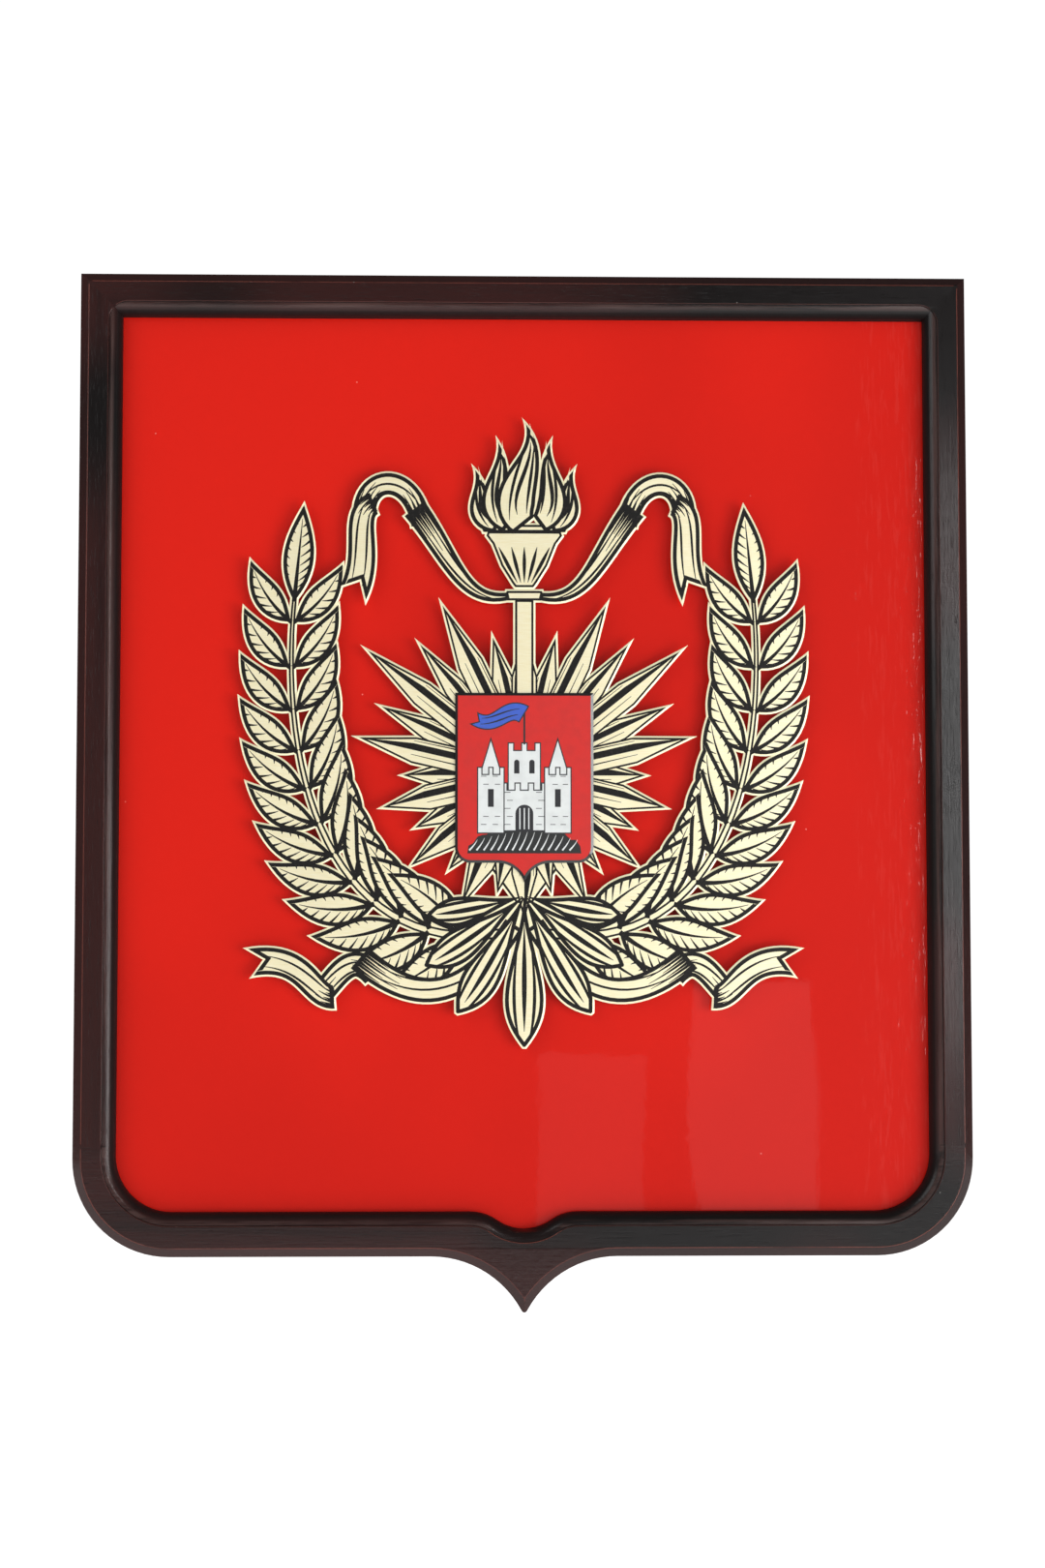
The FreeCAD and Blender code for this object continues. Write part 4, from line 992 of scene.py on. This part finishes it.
def etched_plate(name, shapes, centre, front_y, back_y, rim_drop, levels):
    """A solid plate: each colour's faces at its own level below the front, the outer edge chamfered."""
    flat, triangles, colours = painted_triangles(shapes)
    first, second, third = flat[triangles].transpose(1, 0, 2)
    u, v = second - first, third - first
    turn = u[:, 0] * v[:, 1] - v[:, 0] * u[:, 1]
    triangles[turn < 0] = triangles[turn < 0][:, ::-1]
    owner = {}
    for number, (a, b, c) in enumerate(triangles.tolist()):
        owner[a, b] = owner[b, c] = owner[c, a] = number
    rim = {corner for edge in owner if edge[::-1] not in owner for corner in edge}
    corners, index, faces, paints = [], {}, [], []

    def corner(number, level):
        """The mesh's corner at that flat point and level; the back is level None."""
        if (number, level) not in index:
            y = back_y if level is None else front_y + level + (rim_drop if number in rim else 0.0)
            index[number, level] = len(corners)
            corners.append((centre.x + flat[number, 0] * mm, y, centre.z + flat[number, 1] * mm))
        return index[number, level]

    for (a, b, c), colour in zip(triangles.tolist(), colours):
        level = levels[colour]
        faces.append((corner(a, level), corner(b, level), corner(c, level)))
        faces.append((corner(c, None), corner(b, None), corner(a, None)))
        paints += [colour, "back"]
    for (a, b), number in owner.items():
        high = levels[colours[number]]
        other = owner.get((b, a))
        low = levels[colours[other]] if other is not None else None
        if other is None or low > high:
            faces.append((corner(b, high), corner(a, high), corner(a, low), corner(b, low)))
            paints.append("edge" if other is None else "wall")
    mesh = bpy.data.meshes.new(name)
    mesh.from_pydata(corners, [], faces)
    mesh.update()
    return mesh, paints


def brushed_gold(name, pale):
    """Fine horizontal brushing under a satin gold lacquer."""
    material, tree, shader = new_finish(name, Metallic=0.35, IOR=1.5)
    place = add(tree, "TexCoord", out=3)
    brushing = cloud(tree, stretched(tree, place, x=0.03), 5200, 3, 0.6)
    handling = cloud(tree, place, 30, 4, 0.55)
    light = laid_over(tree, rise(tree, brushing, 0.30, 0.70), GOLD if not pale else GOLD_PALE,
                      GOLD_PALE if not pale else BRIGHT_EDGE)
    rough = plus(tree, times(tree, handling, 0.16), 0.30 if not pale else 0.18)
    wire_up(tree, shader, Base_Color=light, Roughness=rough, Normal=relief(tree, brushing, 0.004 * mm))
    return material


def line_enamel():
    """Black enamel wiped into the etched lines, a little dished and matt."""
    material, tree, shader = new_finish("line_enamel", Specular_IOR_Level=0.25)
    place = add(tree, "TexCoord", out=3)
    wiped = cloud(tree, place, 800, 4, 0.6)
    colour = laid_over(tree, rise(tree, wiped, 0.5, 0.8), ENAMEL_BLACK, ENAMEL_WIPED)
    rough = plus(tree, times(tree, wiped, 0.25), 0.35)
    wire_up(tree, shader, Base_Color=colour, Roughness=rough, Normal=relief(tree, wiped, 0.02 * mm))
    return material


def paint_faces(mesh, paints, materials):
    """Give each face the material of its paint."""
    names = list(materials)
    for paint in names:
        mesh.materials.append(materials[paint])
    numbers = [names.index(paint) for paint in paints]
    mesh.polygons.foreach_set("material_index", numbers)


plate_low, plate_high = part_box("emblem_plate")
plate_centre = Vector((0, 0, plate_low.z + EMBLEM_FOOT))
plate_mesh, plate_paints = etched_plate("emblem", draw_emblem(), plate_centre, plate_low.y, plate_high.y,
                                        RIM_DROP, LEVELS)
gold = brushed_gold("emblem_gold", False)
bright = brushed_gold("emblem_gold_edge", True)
black = line_enamel()
emblem = shown("emblem_relief", plate_mesh, None, "plaque", "emblem_plate", smooth_below=5)
paint_faces(plate_mesh, plate_paints,
            {"gold": gold, "black": black, "wall": black, "edge": bright, "back": gold})


# ================================================================ the small shield
#
# A copper blank with a raised black outline, flooded with red enamel and printed with a white tower, its
# blue pennant and a dark mound, and glued to the emblem over the rays.

SHIELD_HALF, SHIELD_TALL, SHIELD_CORNER = 31.0, 76.2, 7.0
SHIELD_POINT_HALF, SHIELD_POINT_DROP = 12.0, 8.8
PENNANT = ((0, 66.5), (-9, 72), (-12, 58), (-23, 65))
PRINT_LEVELS = {"border": 0.0, "red": 0.12 * mm, "white": 0.09 * mm, "line": 0.10 * mm, "blue": 0.09 * mm,
                "mound": 0.10 * mm}
ENAMELS = {
    "border": (0.0070, 0.0065, 0.0065, 1),
    "red": (0.640, 0.020, 0.016, 1),
    "white": (0.760, 0.790, 0.780, 1),
    "line": (0.026, 0.026, 0.030, 1),
    "blue": (0.052, 0.120, 0.560, 1),
    "mound": (0.022, 0.024, 0.024, 1),
}


def arc_points(centre, radius, start, end, steps):
    """Points of an arc, degrees from +X, both ends included."""
    turns = [math.radians(start + (end - start) * step / steps) for step in range(steps + 1)]
    return [(centre[0] + radius * math.cos(turn), centre[1] + radius * math.sin(turn)) for turn in turns]


def shield_outline(inset):
    """The shield's outline drawn in by inset; the origin is on its straight bottom edge."""
    ogee = (SHIELD_POINT_HALF**2 + SHIELD_POINT_DROP**2) / (2 * SHIELD_POINT_DROP)
    turn = math.degrees(math.asin(SHIELD_POINT_HALF / ogee))
    w, r = SHIELD_HALF, SHIELD_CORNER
    right = arc_points((SHIELD_POINT_HALF, -ogee), ogee, 90 + turn, 90, 12)
    right += arc_points((w - r, r), r, -90, 0, 12)
    right.append((w, SHIELD_TALL))
    return drawn_in(anticlockwise(right + mirrored(reversed(right[1:]), -1)), inset, 0.7)


def box_outline(x0, z0, x1, z1):
    return ((x0, z0), (x1, z0), (x1, z1), (x0, z1))


def crenellated(x0, z0, x1, z1, teeth, depth):
    """A wall whose top edge is cut into that many merlons."""
    count = 2 * teeth - 1
    top = []
    for step in range(count):
        level = z1 if step % 2 == 0 else z1 - depth
        left, right = x1 - (x1 - x0) * step / count, x1 - (x1 - x0) * (step + 1) / count
        top += [(left, level), (right, level)]
    return [(x0, z0), (x1, z0)] + top


def draw_shield():
    art = Artwork()

    def outlined(outline, colour, line=0.55):
        outline = anticlockwise(outline)
        art.marks.append((outline, "line"))
        art.marks.append((drawn_in(outline, line), colour))

    art.rims.append((shield_outline(0.0), "border"))
    art.marks.append((shield_outline(1.2), "red"))
    ground = [(-25.5, 4.2), (25.5, 4.2)]
    for step in range(25):
        swell = 10.5 * math.sin(math.pi * step / 24) ** 0.8 + 0.9 * math.sin(2.1 * step)
        ground.append((25 - 50 * step / 24, 7.5 + swell))
    art.mark(ground, "mound")
    for number in range(15):
        x = -22.4 + 3.2 * number
        tall = 3.2 + 4.6 * math.cos(x / 17)
        art.mark(strip(((x - 2.2, 5.6), (x + 0.4, 6.0 + tall * 0.5), (x + 1.4, 6.0 + tall)),
                       lambda u: 0.34 * (1 - u) + 0.06), "white")
    outlined(crenellated(-7.5, 30, 7.5, 54, 3, 3.4), "white")
    outlined(crenellated(-10.5, 14, 10.5, 36, 4, 3.2), "white")
    for side in (-1, 1):
        outlined(((side * 15 - 5.6, 38.0), (side * 15 + 5.6, 38.0), (side * 15, 56.5)), "white")
        outlined(crenellated(side * 15 - 6.2, 13, side * 15 + 6.2, 43, 3, 3.2), "white")
        outlined(box_outline(side * 15 - 1.3, 25, side * 15 + 1.3, 33), "line", 0.1)
    gate = [(-4, 14), (4, 14)] + arc_points((0, 22), 4, 0, 180, 12)
    outlined(gate, "line", 0.1)
    for x in (-2, 0, 2):
        art.mark(box_outline(x - 0.25, 15, x + 0.25, 24.5), "white")
    for x in (-3.4, 3.4):
        outlined([(x - 1.2, 40), (x + 1.2, 40)] + arc_points((x, 45), 1.2, 0, 180, 8), "line", 0.1)
    for row in range(7):
        z = 17.0 + 3.6 * row
        shift = 1.0 if row % 2 else 0.0
        for x in (-8.8, 5.2) if z < 33 else ():
            art.mark(box_outline(x + shift, z, x + shift + 2.6, z + 0.3), "line")
        for x in (-19.4, -14.2, 11.6, 16.2):
            if not 24 < z < 34:
                art.mark(box_outline(x + shift, z, x + shift + 2.4, z + 0.3), "line")
    art.mark(box_outline(-0.45, 53, 0.45, 70), "line")
    outlined(strip(PENNANT, lambda u: 4.4 - 1.2 * u, count=20, notch=3.0), "blue")
    for offset in (-1.5, 1.2):
        art.stroke(beside(PENNANT, (0.1, 0.3, 0.5, 0.7, 0.88), lambda u: offset), 0.5)
    return art.rims + [(outline, "line" if colour == "black" else colour) for outline, colour in art.marks]


def enamel(name, colour):
    material, tree, shader = new_finish("shield_" + name, IOR=1.5, Coat_Weight=0.8, Coat_Roughness=0.06)
    place = add(tree, "TexCoord", out=3)
    pool = cloud(tree, place, 190, 3, 0.5)
    deep = tuple(channel * 0.90 for channel in colour[:3]) + (1,)
    tinted = laid_over(tree, rise(tree, pool, 0.35, 0.75), colour, deep)
    rough = plus(tree, times(tree, pool, 0.15), 0.25)
    wire_up(tree, shader, Base_Color=tinted, Roughness=rough, Normal=relief(tree, pool, 0.02 * mm))
    return material


shield_low, shield_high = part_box("shield_plate")
shield_foot = Vector((0, 0, shield_low.z + SHIELD_POINT_DROP * mm))
shield_mesh, shield_paints = etched_plate("small_shield", draw_shield(), shield_foot, shield_low.y,
                                          shield_high.y, 0.15 * mm, PRINT_LEVELS)
small_shield = shown("shield_enamelled", shield_mesh, None, "plaque", "shield_plate", smooth_below=5)
enamels = {name: enamel(name, colour) for name, colour in ENAMELS.items()}
paint_faces(shield_mesh, shield_paints, {**enamels, "wall": enamels["border"], "edge": enamels["border"],
                                         "back": enamels["border"]})


# ================================================================ posts behind the emblem
#
# Short black plastic posts, glued to the panel and to the emblem's back, which hold it clear of the gloss.

POST_BLACK = (0.020, 0.020, 0.021, 1)
POST_SCUFF = (0.070, 0.068, 0.066, 1)


def post_plastic():
    material, tree, shader = new_finish("spacer_plastic", IOR=1.46)
    place = add(tree, "TexCoord", out=3)
    scuffs = cloud(tree, place, 1200, 4, 0.6)
    colour = laid_over(tree, rise(tree, scuffs, 0.55, 0.75), POST_BLACK, POST_SCUFF)
    rough = plus(tree, times(tree, scuffs, 0.25), 0.40)
    wire_up(tree, shader, Base_Color=colour, Roughness=rough, Normal=relief(tree, scuffs, 0.02 * mm))
    return material


wear(post_plastic(), "emblem_spacers")


# ================================================================ floor, light and camera
#
# The plaque hangs free over a pale floor in a soft white studio, seen from a little below its middle.

FLOOR_Z = -0.45
FLOOR_HALF = 4.4
FLOOR_BRIGHT_FROM, FLOOR_BRIGHT_TO = 0.9, 3.0
CAMERA_DISTANCE = 1.20
CAMERA_RISE = math.radians(-3.5)
CAMERA_TURN = math.radians(-1.36)
PICTURE_TALL = 0.700
AIM_ASIDE = -0.9 * mm
AIM_ABOVE_MIDDLE = 1.7 * mm


def pale_floor():
    """Nearly white, and lit through towards its far edges so that it runs out into the white room."""
    material, tree, shader = new_finish("pale_floor", Roughness=0.85, Emission_Color=(1, 1, 1, 1))
    place = add(tree, "TexCoord", out=3)
    tone = laid_over(tree, cloud(tree, place, 1.5, 3), (0.88, 0.88, 0.88, 1), (0.93, 0.93, 0.925, 1))
    far = add(tree, "VectorMath", {"operation": "LENGTH"}, out=1, s0=place)
    glow = add(tree, "MapRange", {"interpolation_type": "SMOOTHSTEP"}, s0=far, s1=FLOOR_BRIGHT_FROM,
               s2=FLOOR_BRIGHT_TO, s3=0.42, s4=0.95)
    wire_up(tree, shader, Base_Color=tone, Emission_Strength=glow)
    return material


floor_mesh = bpy.data.meshes.new("floor")
corners = [(-1, -1), (1, -1), (1, 1), (-1, 1)]
floor_mesh.from_pydata([(FLOOR_HALF * x, FLOOR_HALF * y, FLOOR_Z) for x, y in corners], [], [(0, 1, 2, 3)])
floor_mesh.materials.append(pale_floor())
floor = bpy.data.objects.new("floor", floor_mesh)
bpy.context.scene.collection.objects.link(floor)

# the room is white to the eye, but the gloss mirrors only a dim one
world = bpy.data.worlds.new("studio")
bpy.context.scene.world = world
world.use_nodes = True
air = world.node_tree
rays = air.nodes.new("ShaderNodeLightPath")
dimmed = add(air, "MapRange", s0=rays.outputs["Is Glossy Ray"], s3=0.30, s4=0.10)
strength = add(air, "MapRange", s0=rays.outputs["Is Camera Ray"], s3=dimmed, s4=1.05)
air.links.new(strength, air.nodes["Background"].inputs["Strength"])
air.nodes["Background"].inputs["Color"].default_value = (1, 1, 1, 1)

middle = (packed_box[0] + packed_box[1]) / 2


def soft_light(name, place, target, width, height, watts):
    light = bpy.data.lights.new(name, "AREA")
    light.shape = "RECTANGLE"
    light.size, light.size_y, light.energy = width, height, watts
    lamp = bpy.data.objects.new(name, light)
    lamp.location = place
    lamp.rotation_euler = (Vector(target) - Vector(place)).to_track_quat("-Z", "Y").to_euler()
    bpy.context.scene.collection.objects.link(lamp)


soft_light("key", (1.15, -1.25, -0.10), middle, 0.9, 0.9, 13.5)
soft_light("fill", (-1.3, -1.3, 1.0), middle, 1.2, 1.2, 9)
soft_light("side_window", (0.572, -1.75, 0.36), (0.19, 0, 0.25), 0.13, 0.66, 2.9)
soft_light("low_window", (0.32, -1.75, -0.10), (0.12, 0, 0.07), 0.19, 0.42, 0.085)
soft_light("low_window_pane", (0.115, -1.75, -0.14), (0.04, 0, 0.06), 0.12, 0.34, 0.028)
soft_light("back", (0.0, 1.9, 1.4), (0, 0.3, 0.1), 1.4, 1.0, 22)

lens = bpy.data.cameras.new("camera")
lens.sensor_width = 36.0
lens.lens = lens.sensor_width * CAMERA_DISTANCE / PICTURE_TALL
camera = bpy.data.objects.new("camera", lens)
aim = Vector((AIM_ASIDE, packed_box[0].y, middle.z + AIM_ABOVE_MIDDLE))
level = math.cos(CAMERA_RISE)
away = Vector((math.sin(CAMERA_TURN) * level, -math.cos(CAMERA_TURN) * level, math.sin(CAMERA_RISE)))
camera.location = aim + CAMERA_DISTANCE * away
camera.rotation_euler = (math.pi / 2 - CAMERA_RISE, 0, CAMERA_TURN)
bpy.context.scene.collection.objects.link(camera)
bpy.context.scene.camera = camera
bpy.context.scene.view_settings.view_transform = "Standard"
